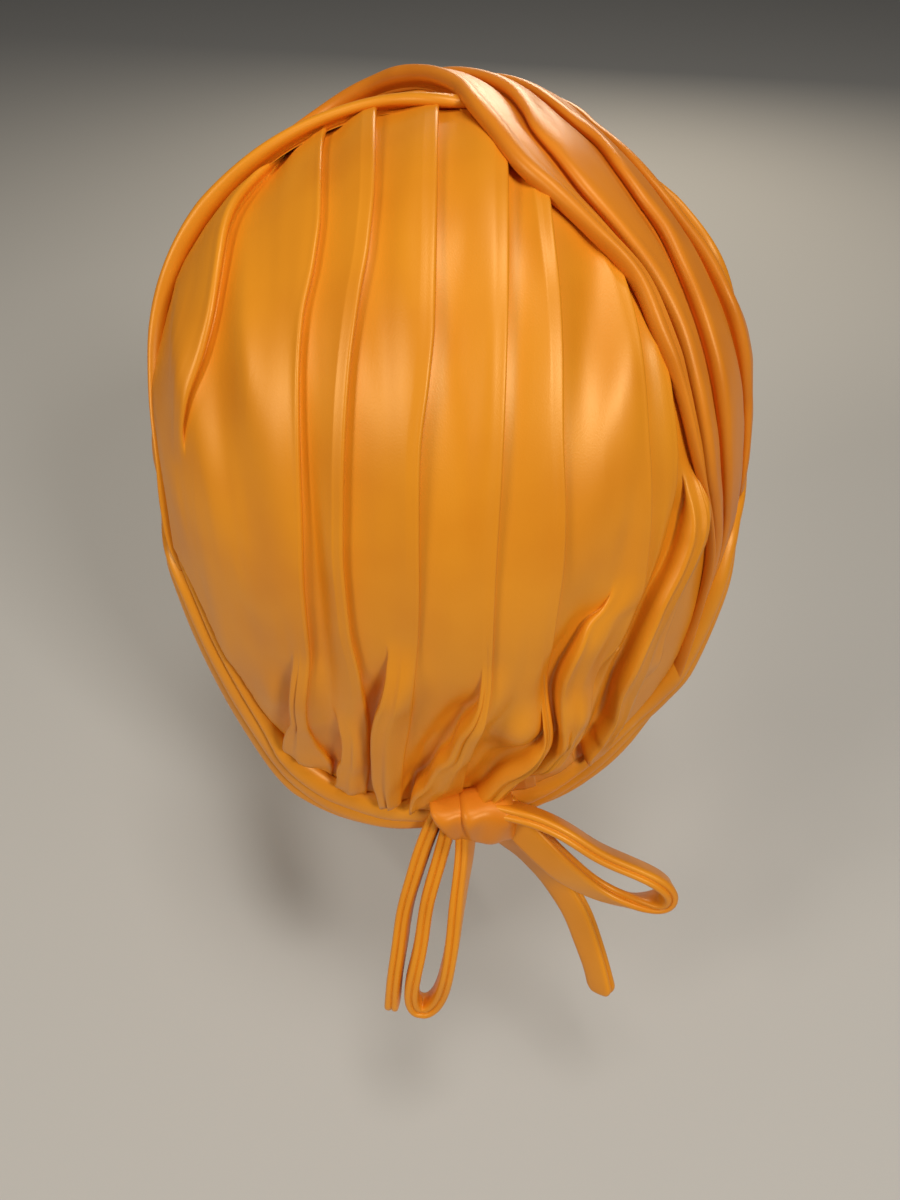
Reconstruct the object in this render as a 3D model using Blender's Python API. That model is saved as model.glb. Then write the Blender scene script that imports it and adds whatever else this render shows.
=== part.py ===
"""Pleated turban hat of orange satin, tied at the nape, modelled at real size.

+X is the wearer's right, +Y is forward, +Z is up. The origin is the centre of the head
opening on the head's upright centre line, level with the forehead edge.
Tables and lengths below are in millimetres and degrees. Blender gets metres.

Directions on the cap are told by two angles about its centre. Alpha leans from the middle
to the wearer's right. Beta turns from straight back (0) over the top (90) to the front (180).
The pleats run along nearly constant alpha.
"""
import bpy
import bmesh
import numpy as np

MM = 0.001

# Driving dimensions of the hollow that the head fills
CENTRE = np.array([0.0, -22.0, 12.0])
HALF_WIDTH = 80.0
BACK_DEPTH = 76.0
FRONT_DEPTH = 119.0
TOP_HEIGHT = 92.0
LOWER_HEIGHT = 240.0
FULLNESS = 2.05

# Driving dimensions of the cloth
CROWN_WALL = 2.0
CROWN_OUTSIDE = 2.2
CROWN_PUFF = 1.2
CROWN_LEFT_BULGE = 3.4
CROWN_LOW_BULGE = 0.8
CROWN_SEAM = 8.0
SWATH_INSIDE = 3.2
SWATH_WALL = 2.0
SWATH_FOLD = 3.0
BAND_INSIDE = 3.1
TIE_WIDTH = 9.0
TIE_THICKNESS = 4.6
KNOT_HALF = (14.5, 8.0, 7.0)
KNOT_AZIMUTH = 4.6
KNOT_HEIGHT = -46.0
KNOT_STAND_OFF = 1.0
KNOT_LEAN = 0.5
KNOT_SAG = 0.22
KNOT_MARGIN = 0.9
RIM_GAP = 1.2

# Colour of each piece (linear red, green, blue)
SATIN = (0.80, 0.30, 0.035, 1.0)
SATIN_DEEP = (0.74, 0.24, 0.03, 1.0)
SATIN_ROUGHNESS = 0.38

# Middle line of the rim band: azimuth from the nape towards the wearer's right, height, width
RIM = (
    (-180, 7, 12),
    (-150, 9, 12),
    (-120, 14, 12),
    (-95, 17, 12),
    (-75, 16, 12),
    (-64, 11, 13),
    (-58, 3, 14),
    (-55, -8, 15),
    (-51, -21, 16),
    (-47, -33, 17),
    (-41, -45, 17),
    (-34, -53, 16),
    (-25, -58, 14),
    (-16, -59, 13),
    (-6, -57, 12),
    (14, -54, 11),
    (22, -51, 12),
    (30, -47, 13),
    (38, -42, 14),
    (46, -35, 14),
    (53, -24, 14),
    (58, -10, 13),
    (62, 4, 13),
    (67, 13, 12),
    (80, 17, 12),
    (95, 17, 12),
    (120, 14, 12),
    (150, 9, 12),
    (180, 7, 12),
)

# Pleat edges from the wearer's left to right: step of the edge, then alpha at each beta.
# The cloth at the left of an edge lies over the cloth at its right.
PLEATS = (
    (1.6, ((-45, -38), (-20, -46), (10, -50), (43, -48.5), (56, -40), (64, -36.5), (80, -34), (100, -29))),
    (2.2, ((-46, -20), (-36, -25), (-26, -26), (0, -25), (19, -23.3), (49, -21.2), (76, -17.6), (100, -18.9))),
    (2.4, ((-44, -16), (-28, -15.3), (-9, -16.1), (12, -16.8), (36, -15.4), (59, -11.7), (103, -11))),
    (2.4, ((-44, -8), (-19, -6.9), (4, -5.3), (27, -4.5), (50, -2.7), (64, -1.7), (102, -1.6))),
    (2.4, ((-44, 1.5), (-22, 5.1), (-9, 7.4), (8, 7.6), (45, 7.4), (82, 7.6))),
    (2.2, ((-44, 9), (-33, 15.5), (-23, 18.2), (2, 18.3), (20, 18), (36, 17), (61, 14.4), (75, 13))),
    (2.0, ((-44, 26), (-22, 30.6), (6, 33), (23, 33.4), (37, 31.3), (46, 29.4), (58, 26.6), (68, 23.6))),
    (1.2, ((-44, 29), (-20, 34), (-1, 37), (15, 38.6), (28, 38.6), (37, 37.2), (50, 33.8), (60, 28))),
    (2.6, ((-44, 31.5), (-24, 35), (-7, 40), (5, 42.5), (15, 45.1), (26, 46.7), (39, 40.8), (48, 37.5))),
)
FIRST_PLEAT_START = 36.0
LAST_PLEAT_END = 47.0
PLEAT_FADE = 14.0
SIDE_LINES = (-57.0, 53.0)
END_LINES = (-83.5, 83.5)
EDGE_HALF = 0.3

# Rows of the crown along a pleat, as shares of the way from the rim at the back to the front
CROWN_ROWS = (0, 0.035, 0.075, 0.115, 0.155, 0.195, 0.235, 0.28, 0.325, 0.37, 0.415, 0.46, 0.505,
              0.55, 0.6, 0.66, 0.74, 0.83, 0.92, 1)

# Tucks that take in the cloth above the nape: height, alpha at each beta. Their lips face left.
TUCKS = (
    (1.8, ((-42, -29.6), (-37, -29.8), (-19, -28), (-7, -27))),
    (1.8, ((-44, -19.9), (-32, -19.7), (-26, -22))),
    (2.0, ((-41, -11), (-31, -14.2), (-23, -13.9), (-8, -11.4), (-1, -11.6))),
    (1.8, ((-38, -4.8), (-24, 0.7), (-14, 5.1), (0, 5.3))),
    (1.8, ((-35, 7.1), (-31, 11.5), (-27, 14.7))),
    (2.4, ((-23, 18.5), (-12, 20.1), (0, 24), (11, 27.4))),
)

# Upper end of the visible pleats: beta of the swaths' rear edges at each alpha
PANEL_TOP = (
    (-57, 62), (-53, 72), (-37, 86), (-27, 88), (-16, 95), (-1, 93), (4, 85), (10, 75), (19, 68),
    (26, 61), (32, 51), (39, 42), (44, 33), (50, 26), (54, 6),
)

# Swaths, from the rim at one side over the top to the rim at the other side of the front.
# Each row is one cross line: rear alpha and beta, front alpha and beta, lift at the rear
# and at the front, and how much of the folds' relief it has.
LEFT_SWATH = (
    (-59.5, 13, -78, 125, 0.5, 0.0, 0.8),
    (-59.0, 42, -74, 108, 1.5, 0.5, 1.0),
    (-57.5, 62, -67, 107, 2.2, 1.0, 1.0),
    (-53.0, 74, -60, 109, 2.6, 1.5, 1.0),
    (-45.0, 82, -51, 114, 2.6, 1.6, 1.0),
    (-37.0, 87, -42, 118, 2.2, 1.0, 1.0),
    (-27.0, 90, -32, 121, 1.6, 0.4, 0.9),
    (-17.0, 96, -21, 123, 0.8, 0.0, 0.5),
    (-8.0, 96, -9, 124, 0.2, 0.0, 0.2),
    (1.0, 94, -1, 131, 0.0, 0.0, 0.1),
    (11.0, 96, 3, 140, 0.0, 0.0, 0.1),
    (20.0, 101, 4, 147, 0.0, 0.2, 0.1),
    (31.0, 106, 2.5, 153, 0.0, 0.4, 0.15),
    (46.5, 95, 2, 160, 0.4, 0.8, 0.8),
    (60.5, 95, 2, 167, 0.6, 0.8, 1.0),
    (72.5, 110, 2, 172, 0.5, 0.5, 0.9),
)
# Azimuth of each place across the swath where it meets the rim, at its first and last end
LEFT_RIM = (((0.0, -60.0), (1.0, -104.0)), ((0.0, 106.0), (1.0, 178.5)))
LEFT_FOLDS = (0.0, 0.22, 0.46, 0.7, 1.0)

RIGHT_SWATH = (
    (52.6, 14, 74.5, 118, 0.0, 0.0, 0.9),
    (49.0, 28, 71, 103, 0.0, 0.0, 1.0),
    (44.5, 34, 67, 94, 0.0, 0.0, 1.0),
    (39.0, 42, 61, 88, 0.0, 0.0, 1.0),
    (32.3, 51, 54, 88, 0.0, 0.0, 1.0),
    (26.8, 60, 47, 90, 0.0, 0.3, 1.0),
    (19.4, 68, 37, 97, 0.2, 1.6, 1.0),
    (12.4, 72, 31, 103, 1.2, 3.2, 1.0),
    (7.3, 78, 27, 110, 2.4, 3.4, 1.0),
    (4.4, 84, 25, 115, 3.2, 3.4, 1.0),
    (1.2, 93, 24, 121, 3.4, 3.7, 1.0),
    (-2.5, 104, 20, 130, 3.6, 3.8, 0.9),
    (-7.0, 112, 12, 139, 3.8, 3.8, 0.8),
    (-13.0, 119, 5, 147, 4.2, 3.0, 0.8),
    (-21.0, 123.5, 0, 154, 3.6, 1.4, 0.9),
    (-32.0, 121.5, -1.5, 160, 1.4, 0.8, 1.0),
    (-51.0, 116.5, -1.5, 167, 0.4, 0.8, 1.0),
    (-74.0, 113, -1.5, 172, 0.3, 0.5, 0.9),
)
RIGHT_RIM = (((0.0, 52.0), (0.14, 60.0), (0.2, 63.5), (0.3, 67.5), (0.45, 74.5), (1.0, 104.0)),
             ((0.0, -106.0), (1.0, -178.5)))
RIGHT_FOLDS = (0.0, 0.14, 0.42, 0.58, 0.78, 1.0)

# Height over one fold, from its lip to where the next fold covers it
FOLD_PROFILE = ((0.0, 0.0), (0.1, 1.0), (0.42, 0.85), (0.8, 0.3))

# Cross-section of the rim band: place across it, height over the hollow
BAND_PROFILE = (
    (0.5, BAND_INSIDE), (0.5, 5.2), (0.36, 7.9), (0.18, 6.7), (0.0, 8.5),
    (-0.18, 6.9), (-0.34, 8.2), (-0.5, 5.4), (-0.5, BAND_INSIDE),
)

# Middle lines of the ties, from the knot outwards
LEFT_LOOP = (
    (-1.0, -103.5, -65.5), (-3.8, -109, -74), (-7, -115, -83), (-8.6, -122, -95), (-10.9, -128, -104),
    (-12.5, -131, -114.5), (-10.4, -133, -121.5), (-5.8, -133, -119), (-2.8, -131, -112),
    (-0.6, -128, -101), (1.2, -122, -90.5), (2.6, -115, -79), (4.2, -109, -71), (5.4, -104, -66),
)
LEFT_TAIL = (
    (-7.4, -104.5, -67), (-10.5, -109.5, -76.5), (-13.6, -115, -87), (-15.5, -122, -98), (-17.3, -128, -109),
    (-18.3, -132, -120),
)
RIGHT_LOOP = (
    (22.6, -107.2, -47), (31, -110.5, -49), (42, -114, -56.5), (53.5, -116, -62), (60.5, -118, -65),
    (64.3, -119, -69.5), (62.4, -119, -75.5), (56, -118, -78.5), (48, -116, -78), (39, -114, -73),
    (31, -112, -65), (22.2, -108, -57.5),
)
RIGHT_TAIL = (
    (14.6, -101, -62.5), (26, -100.5, -81), (35, -102, -96), (41.3, -108, -104.5), (45.2, -114, -113),
    (48.4, -120, -120.5), (50.7, -125, -128.5),
)


def ease(x):
    """Smooth step from 0 at x = 0 to 1 at x = 1."""
    x = np.clip(x, 0.0, 1.0)
    return x * x * (3.0 - 2.0 * x)


def smooth(table, x):
    """Read y at x from a short table of (x, y) rows through a curve that does not overshoot."""
    xs, ys = np.array(sorted(table), float).T
    step = np.diff(xs)
    slope = np.diff(ys) / step
    tangent = np.empty(len(xs))
    tangent[0], tangent[-1] = slope[0], slope[-1]
    pairs = slope[:-1] * slope[1:]
    mean = slope[:-1] + slope[1:]
    tangent[1:-1] = np.where(pairs > 0, 2 * pairs / np.where(mean == 0, 1, mean), 0.0)
    x = np.clip(x, xs[0], xs[-1])
    k = np.clip(np.searchsorted(xs, x, side="right") - 1, 0, len(step) - 1)
    t = (x - xs[k]) / step[k]
    left = (1 + 2 * t) * (1 - t) ** 2 * ys[k] + t * (1 - t) ** 2 * step[k] * tangent[k]
    right = t * t * (3 - 2 * t) * ys[k + 1] - t * t * (1 - t) * step[k] * tangent[k + 1]
    return left + right


def through(points, count):
    """Evenly spaced points on a smooth curve through rows of points (rows can be whole lines)."""
    points = np.asarray(points, float)
    flat = points.reshape(len(points), -1)
    step = np.linalg.norm(np.diff(flat, axis=0), axis=1)[:, None]
    slope = np.diff(flat, axis=0) / step
    inner = (slope[:-1] * step[1:] + slope[1:] * step[:-1]) / (step[1:] + step[:-1])
    tangent = np.concatenate([slope[:1], inner, slope[-1:]])
    fine = []
    for k, size in enumerate(step):
        for t in np.linspace(0, 1, 16, endpoint=False):
            fine.append((1 + 2 * t) * (1 - t) ** 2 * flat[k] + t * (1 - t) ** 2 * size * tangent[k]
                        + t * t * (3 - 2 * t) * flat[k + 1] - t * t * (1 - t) * size * tangent[k + 1])
    fine = np.array(fine + [flat[-1]])
    along = np.concatenate([[0], np.cumsum(np.linalg.norm(np.diff(fine, axis=0), axis=1))])
    where = np.linspace(0, along[-1], count)
    even = np.stack([np.interp(where, along, fine[:, j]) for j in range(fine.shape[1])], axis=1)
    return even.reshape((count,) + points.shape[1:])


def unit(v):
    return v / np.linalg.norm(v, axis=-1, keepdims=True)


def direction(alpha, beta):
    a, b = np.radians(alpha), np.radians(beta)
    return np.stack([np.sin(a) + 0 * b, -np.cos(a) * np.cos(b), np.cos(a) * np.sin(b)], axis=-1)


def hollow_radius(d):
    """Distance from the centre to the hollow's wall in direction d."""
    depth = np.where(d[..., 1] < 0, BACK_DEPTH, FRONT_DEPTH)
    height = np.where(d[..., 2] > 0, TOP_HEIGHT, LOWER_HEIGHT)
    total = (np.abs(d[..., 0] / HALF_WIDTH) ** FULLNESS + np.abs(d[..., 1] / depth) ** FULLNESS
             + np.abs(d[..., 2] / height) ** FULLNESS)
    return total ** (-1.0 / FULLNESS)


def over_hollow(d, height):
    """The point at a height over the hollow's wall in direction d."""
    return CENTRE + d * (hollow_radius(d) + height)[..., None]


def azimuth_of(point):
    return np.degrees(np.arctan2(point[..., 0] - CENTRE[0], CENTRE[1] - point[..., 1]))


def rim_height(azimuth):
    return smooth([row[:2] for row in RIM], azimuth)


def rim_width(azimuth):
    return smooth([(row[0], row[2]) for row in RIM], azimuth)


def toward(azimuth, height):
    """Direction in which the hollow's wall stands at an azimuth and a height."""
    azimuth, height = np.broadcast_arrays(np.asarray(azimuth, float), np.asarray(height, float))
    a = np.radians(azimuth)
    flat = np.stack([np.sin(a), -np.cos(a), 0 * a], axis=-1)
    low, high = np.full(a.shape, -1.5), np.full(a.shape, 1.5)
    for _ in range(40):
        mid = (low + high) / 2
        d = flat * np.cos(mid)[..., None]
        d[..., 2] = np.sin(mid)
        above = CENTRE[2] + d[..., 2] * hollow_radius(d) > height
        high = np.where(above, mid, high)
        low = np.where(above, low, mid)
    return d


def rim_frame(azimuth):
    """Points of the rim's middle line on the hollow, and the unit vector across the band."""
    spread = 0.5
    here = over_hollow(toward(azimuth, rim_height(azimuth)), np.zeros(np.shape(azimuth)))
    ahead = over_hollow(toward(azimuth + spread, rim_height(azimuth + spread)), np.zeros(np.shape(azimuth)))
    behind = over_hollow(toward(azimuth - spread, rim_height(azimuth - spread)), np.zeros(np.shape(azimuth)))
    along = unit(ahead - behind)
    across = unit(np.cross(unit(here - CENTRE), along))
    return here, across * np.sign(across[..., 2:3])


def band_point(azimuth, across_mm, height):
    """A point of the band, so far across it from its middle line and so high over the hollow."""
    here, across = rim_frame(azimuth)
    return over_hollow(unit(here + across * np.asarray(across_mm)[..., None] - CENTRE), height)


def knot_frame():
    """Middle of the knot, and its unit vectors sideways, upwards and outwards."""
    d = toward(KNOT_AZIMUTH, KNOT_HEIGHT)
    middle = over_hollow(d, np.array(BAND_INSIDE + KNOT_HALF[2] + KNOT_STAND_OFF))
    out = unit(np.array([d[0], d[1], 0.0]))
    up = np.array([0.0, 0.0, 1.0])
    return middle, np.cross(up, out), up, out


def rim_distance(alpha, beta):
    """Distance over the hollow from a direction to the edge of the rim band or of the knot."""
    azimuths = np.linspace(-180.0, 180.0, 361)
    rim, _ = rim_frame(azimuths)
    point = over_hollow(direction(alpha, beta), np.zeros(np.shape(beta)))
    band = np.linalg.norm(point[..., None, :] - rim, axis=-1) - rim_width(azimuths) / 2
    middle, side, up, _ = knot_frame()
    sideways = np.abs((point - middle) @ side) - KNOT_HALF[0]
    upwards = np.abs((point - middle) @ up) - KNOT_HALF[1]
    return np.minimum(band.min(axis=-1), np.maximum(sideways, upwards))


def tuck_relief(alpha, beta):
    """Height of the tucks: a lip that drops to its left and dies out to its right."""
    total = np.zeros(np.broadcast(alpha, beta).shape)
    for height, table in TUCKS:
        betas = [row[0] for row in table]
        offset = alpha - smooth(table, beta)
        ends = ease((max(betas) - beta) / 8.0) * ease((beta - min(betas) + 6.0) / 5.0)
        rise = ease((offset + 1.6) / 1.6) * ease((6.5 - offset) / 6.5)
        total = total + height * ends * rise
    return total


def crown_height(alpha, beta, lip):
    """Height of the crown's outside over the hollow. lip is the pleat's share of it."""
    top = smooth(PANEL_TOP, alpha)
    clear = (ease((top - beta - 3.0) / 10.0) * ease((alpha - SIDE_LINES[0]) / 5.0)
             * ease((SIDE_LINES[1] - 2.0 - alpha) / 6.0))
    seam = ease((rim_distance(alpha, beta) - RIM_GAP - 0.8) / CROWN_SEAM)
    left = CROWN_LEFT_BULGE * ease((-26.0 - alpha) / 22.0)
    low = CROWN_LOW_BULGE * ease((40.0 - beta) / 50.0)
    return CROWN_OUTSIDE + clear * seam * (CROWN_PUFF + left + low + lip + tuck_relief(alpha, beta))


def satin(name, colour):
    material = bpy.data.materials.new(name)
    material.use_nodes = True
    shader = material.node_tree.nodes["Principled BSDF"]
    shader.inputs["Base Color"].default_value = colour
    shader.inputs["Roughness"].default_value = SATIN_ROUGHNESS
    shader.inputs["Metallic"].default_value = 0.0
    return material


def add_body(name, points, faces, colour):
    """Make one closed object from points in millimetres and faces."""
    mesh = bpy.data.meshes.new(name)
    bm = bmesh.new()
    verts = [bm.verts.new(p) for p in np.asarray(points) * MM]
    for face in faces:
        bm.faces.new([verts[i] for i in face])
    bmesh.ops.recalc_face_normals(bm, faces=bm.faces)
    bm.to_mesh(mesh)
    bm.free()
    mesh.shade_smooth()
    mesh.materials.append(satin(name, colour))
    body = bpy.data.objects.new(name, mesh)
    bpy.context.scene.collection.objects.link(body)
    return body


def add_shell(name, outside, inside, colour):
    """Close the space between two grids of points that face each other."""
    rows, cols = outside.shape[:2]
    points = np.concatenate([outside.reshape(-1, 3), inside.reshape(-1, 3)])
    shift = rows * cols
    faces = []
    for r in range(rows - 1):
        for c in range(cols - 1):
            quad = [r * cols + c, r * cols + c + 1, (r + 1) * cols + c + 1, (r + 1) * cols + c]
            faces.append(quad)
            faces.append([shift + i for i in reversed(quad)])
    border = ([c for c in range(cols)] + [r * cols + cols - 1 for r in range(1, rows)]
              + [(rows - 1) * cols + c for c in range(cols - 2, -1, -1)]
              + [r * cols for r in range(rows - 2, 0, -1)])
    for a, b in zip(border, border[1:] + border[:1]):
        faces.append([b, a, shift + a, shift + b])
    return add_body(name, points, faces, colour)


def add_tube(name, rings, colour):
    """Skin a row of rings of points and cap both ends."""
    count, sides = rings.shape[:2]
    faces = []
    for r in range(count - 1):
        for s in range(sides):
            n = (s + 1) % sides
            faces.append([r * sides + s, r * sides + n, (r + 1) * sides + n, (r + 1) * sides + s])
    faces.append(list(range(sides)))
    faces.append([(count - 1) * sides + s for s in reversed(range(sides))])
    return add_body(name, rings.reshape(-1, 3), faces, colour)


def crown_columns():
    """Alpha as a function of beta, panel, and share across the panel, of each column."""
    def fixed(alpha):
        return lambda beta: np.full(np.shape(beta), alpha)

    def edge(index, shift):
        return lambda beta: smooth(PLEATS[index][1], beta) + shift

    def blend(low, high, share):
        return lambda beta: low(beta) + (high(beta) - low(beta)) * share

    last = len(PLEATS)
    lows = [fixed(SIDE_LINES[0])] + [edge(index, EDGE_HALF) for index in range(last)]
    highs = [edge(index, -EDGE_HALF) for index in range(last)] + [fixed(SIDE_LINES[1])]
    columns = [(blend(fixed(END_LINES[0]), lows[0], part), -1, 0.0) for part in np.linspace(0, 0.8, 5)]
    for panel, (low, high) in enumerate(zip(lows, highs)):
        count = 5 if panel in (0, last) else 4
        columns += [(blend(low, high, share), panel, share) for share in np.linspace(0, 1, count)]
    columns += [(blend(highs[-1], fixed(END_LINES[1]), part), -1, 0.0) for part in np.linspace(0.2, 1, 5)]
    return columns


def crown_rows(at):
    """Betas of a column of the crown: rim's middle, band's edge, then steps to the front rim."""
    betas = np.linspace(-80.0, 180.0, 1041)
    points = over_hollow(direction(at(betas), betas), np.zeros(len(betas)))
    above = np.flatnonzero(points[:, 2] > rim_height(azimuth_of(points)))
    clear = above[rim_distance(at(betas[above]), betas[above]) > RIM_GAP]
    if len(clear) == 0:
        clear = above[1:-1]
    back, front = betas[clear[0]], betas[clear[-1]]
    steps = back + (front - back) * np.array(CROWN_ROWS)
    return np.concatenate([[betas[above[0]]], steps, [betas[above[-1]]]])


def crown():
    """Dome of pleated cloth, from the rim at the nape over the top to the rim at the front."""
    last = len(PLEATS)
    outside, inside = [], []
    for at, panel, share in crown_columns():
        beta = crown_rows(at)
        lip = np.zeros(len(beta))
        if 0 <= panel < last:
            fade = ease((beta - beta[1] - 4.0) / PLEAT_FADE)
            if panel == 0:
                fade = fade * ease((beta - FIRST_PLEAT_START) / PLEAT_FADE)
            if panel == last - 1:
                fade = fade * ease((LAST_PLEAT_END - beta) / PLEAT_FADE * 2)
            lip = PLEATS[panel][0] * share ** 1.5 * fade
        d = direction(at(beta), beta)
        height = crown_height(at(beta), beta, lip)
        outside.append(over_hollow(d, height))
        inside.append(over_hollow(d, height - CROWN_WALL))
    add_shell("crown", np.array(outside), np.array(inside), SATIN)


def fold_heights(edges):
    """Places across a swath and the height of its folds there, as shares."""
    rows = []
    for start, end in zip(edges[:-1], edges[1:]):
        rows += [(start + (end - start) * place, height) for place, height in FOLD_PROFILE]
    return np.array(rows + [(1.0, 0.15)]).T


def rim_line(azimuths, places):
    """Directions just above the band's upper edge, at the azimuths of a swath's end."""
    azimuth = smooth(azimuths, places)
    point = band_point(azimuth, rim_width(azimuth) / 2 + RIM_GAP, np.zeros(len(azimuth)))
    return unit(point - CENTRE)


def swath(name, table, azimuths, folds, rows, colour):
    """Band of folded cloth that lies over the crown from the rim to the rim."""
    places, profile = fold_heights(folds)
    across = places[:, None]
    lines = [rim_line(azimuths[0], places)]
    lifts = [0 * places]
    reliefs = [0.7 + 0 * places]
    for rear_a, rear_b, front_a, front_b, lift_rear, lift_front, relief in table:
        rear, front = direction(rear_a, rear_b), direction(front_a, front_b)
        angle = np.arccos(np.clip(rear @ front, -1, 1))
        lines.append((rear * np.sin((1 - across) * angle) + front * np.sin(across * angle)) / np.sin(angle))
        lifts.append(lift_rear + (lift_front - lift_rear) * places)
        reliefs.append(relief + 0 * places)
    lines.append(rim_line(azimuths[1], places))
    lifts.append(0 * places)
    reliefs.append(0.7 + 0 * places)
    packed = np.dstack([np.array(lines) * HALF_WIDTH, np.array(lifts), np.array(reliefs)])
    packed = through(packed, rows)
    d, lift, relief = unit(packed[..., :3]), packed[..., 3], packed[..., 4]
    inner = SWATH_INSIDE + np.maximum(lift, 0)
    outer = inner + SWATH_WALL + SWATH_FOLD * np.clip(relief, 0, 1) * profile
    add_shell(name, over_hollow(d, outer), over_hollow(d, inner), colour)


def rim_band():
    """Folded binding of three rolls round the whole rim, open where the knot sits."""
    reach = np.degrees(KNOT_HALF[0] / (BACK_DEPTH + BAND_INSIDE))
    start = KNOT_AZIMUTH + reach + KNOT_MARGIN
    end = 360 + KNOT_AZIMUTH - reach - KNOT_MARGIN
    azimuths = np.concatenate([np.linspace(start, 50, 8), np.linspace(53, 71, 7), np.linspace(78, 282, 27),
                               np.linspace(289, 320, 11), np.linspace(324, end, 7)])
    azimuths = np.where(azimuths > 180, azimuths - 360, azimuths)
    rings = []
    for azimuth in azimuths:
        spots = [band_point(azimuth, place * rim_width(azimuth), height) for place, height in BAND_PROFILE]
        rings.append(spots)
    add_tube("rim_band", np.array(rings), SATIN)


def knot():
    """Short wrap of cloth that holds the band's two ends, lower in the middle."""
    half_u, half_v, half_w = KNOT_HALF
    middle, side, up, out = knot_frame()
    rings = []
    for u in np.concatenate([[-1, -0.97], np.linspace(-0.85, 0.85, 9), [0.97, 1]]):
        size = (1 - abs(u) ** 5) ** 0.35 if abs(u) < 1 else 0.45
        sag = 1.0 + KNOT_SAG * np.cos(u * np.pi / 2)
        ring = []
        for angle in np.linspace(0, 2 * np.pi, 16, endpoint=False):
            c, s = np.cos(angle), np.sin(angle)
            w = np.sign(c) * abs(c) ** 0.8 * half_w * size
            v = np.sign(s) * abs(s) ** 0.8 * half_v * size
            v = v * sag if v < 0 else v
            shift = u * half_u + KNOT_LEAN * v * min(u, 0)
            ring.append(middle + side * shift + up * v + out * w)
        rings.append(ring)
    add_tube("knot", np.array(rings), SATIN_DEEP)


def tie(name, line, flat, count):
    """Folded strap along a line. flat is the direction in which its wide side lies."""
    line = through(line, count)
    tangent = unit(np.gradient(line, axis=0))
    flat = np.asarray(flat, float)
    wide = unit(flat - tangent * (tangent @ flat)[:, None])
    thick = np.cross(tangent, wide)
    half_w, half_t = TIE_WIDTH / 2, TIE_THICKNESS / 2
    outline = ((-1, -0.5), (-0.8, -1), (0.8, -1), (1, -0.5), (1, 0.5), (0.8, 1), (-0.8, 1), (-1, 0.5))
    rings = np.stack([line + wide * half_w * a + thick * half_t * b for a, b in outline], axis=1)
    add_tube(name, rings, SATIN)


def main():
    for item in list(bpy.data.objects):
        bpy.data.objects.remove(item, do_unlink=True)
    crown()
    swath("left_drape", LEFT_SWATH, LEFT_RIM, LEFT_FOLDS, 29, SATIN)
    swath("right_drape", RIGHT_SWATH, RIGHT_RIM, RIGHT_FOLDS, 31, SATIN_DEEP)
    rim_band()
    knot()
    tie("left_loop", LEFT_LOOP, (0, -0.75, 0.65), 25)
    tie("left_tail", LEFT_TAIL, (0, -0.75, 0.65), 14)
    tie("right_loop", RIGHT_LOOP, (0, -0.8, 0.6), 25)
    tie("right_tail", RIGHT_TAIL, (0, -0.75, 0.65), 16)


main()
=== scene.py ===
"""Looks of the pleated turban hat: its satin cloth with every fold, the light and the camera.

+X is the wearer's right, +Y is forward, +Z is up, and the origin is the centre of the head
opening. Lengths are in millimetres and angles in degrees until a mesh is made.

Directions on the cap are told by two angles about its centre. Alpha leans from the middle to
the wearer's right. Beta turns from straight back (0) over the top (90) to the front (180).
"""

import math

import bpy
import numpy as np
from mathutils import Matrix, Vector


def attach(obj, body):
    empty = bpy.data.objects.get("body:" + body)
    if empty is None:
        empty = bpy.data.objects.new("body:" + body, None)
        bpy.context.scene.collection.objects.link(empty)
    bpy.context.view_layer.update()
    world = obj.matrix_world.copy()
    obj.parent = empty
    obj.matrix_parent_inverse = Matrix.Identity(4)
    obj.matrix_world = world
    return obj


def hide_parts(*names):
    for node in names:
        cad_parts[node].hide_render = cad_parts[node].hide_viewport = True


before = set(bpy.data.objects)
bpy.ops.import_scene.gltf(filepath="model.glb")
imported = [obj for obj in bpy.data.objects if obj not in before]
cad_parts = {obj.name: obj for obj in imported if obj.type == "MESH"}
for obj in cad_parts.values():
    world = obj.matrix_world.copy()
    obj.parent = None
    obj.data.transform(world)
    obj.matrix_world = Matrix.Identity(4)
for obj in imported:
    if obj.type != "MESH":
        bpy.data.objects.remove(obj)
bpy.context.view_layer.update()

MM = 0.001

# Camera of the photograph: its place (m), its tilt from straight down, its focal length in
# pixels of the 900 x 1200 frame, and the longer side of its sensor (mm)
CAMERA_PLACE = (0.0, -0.244, 0.175)
CAMERA_TILT = 45.0
FOCAL_PIXELS = 901.0
FRAME_HEIGHT = 1200.0
SENSOR = 36.0

# Floor: height and width (m), colour and roughness
FLOOR_HEIGHT = -0.206
FLOOR_WIDTH = 6.0
FLOOR_COLOUR = (0.55, 0.54, 0.52, 1.0)
FLOOR_ROUGHNESS = 0.85

# Even light from all round: colour and strength
SKY_COLOUR = (1.0, 0.98, 0.95, 1.0)
SKY_STRENGTH = 0.06

# Lamps: name, place (m), width (m), power (W), colour
LAMPS = (
    ("key", (0.1, -0.2, 1.05), 0.3, 4.0, (1.0, 0.96, 0.89)),
    ("front", (0.55, -0.85, 0.75), 0.24, 7.0, (1.0, 0.96, 0.89)),
    ("left", (-0.85, -0.6, 0.6), 0.3, 4.6, (1.0, 0.92, 0.8)),
    ("brow", (0.2, 1.0, 0.4), 0.35, 3.6, (1.0, 0.88, 0.7)),
)

# The satin and its darker copy, painted shade on the knot and right swath: lighter and darker colour,
# gloss, pattern shift
SATINS = {
    "satin": ((0.8, 0.29, 0.012, 1.0), (0.74, 0.25, 0.009, 1.0), 0.85, 0.0),
    "satin_deep": ((0.76, 0.24, 0.014, 1.0), (0.68, 0.2, 0.01, 1.0), 0.6, 5.0),
}
SATIN_ROUGHNESS = 0.4
SATIN_SHINE = (1.0, 0.76, 0.4, 1.0)

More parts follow.
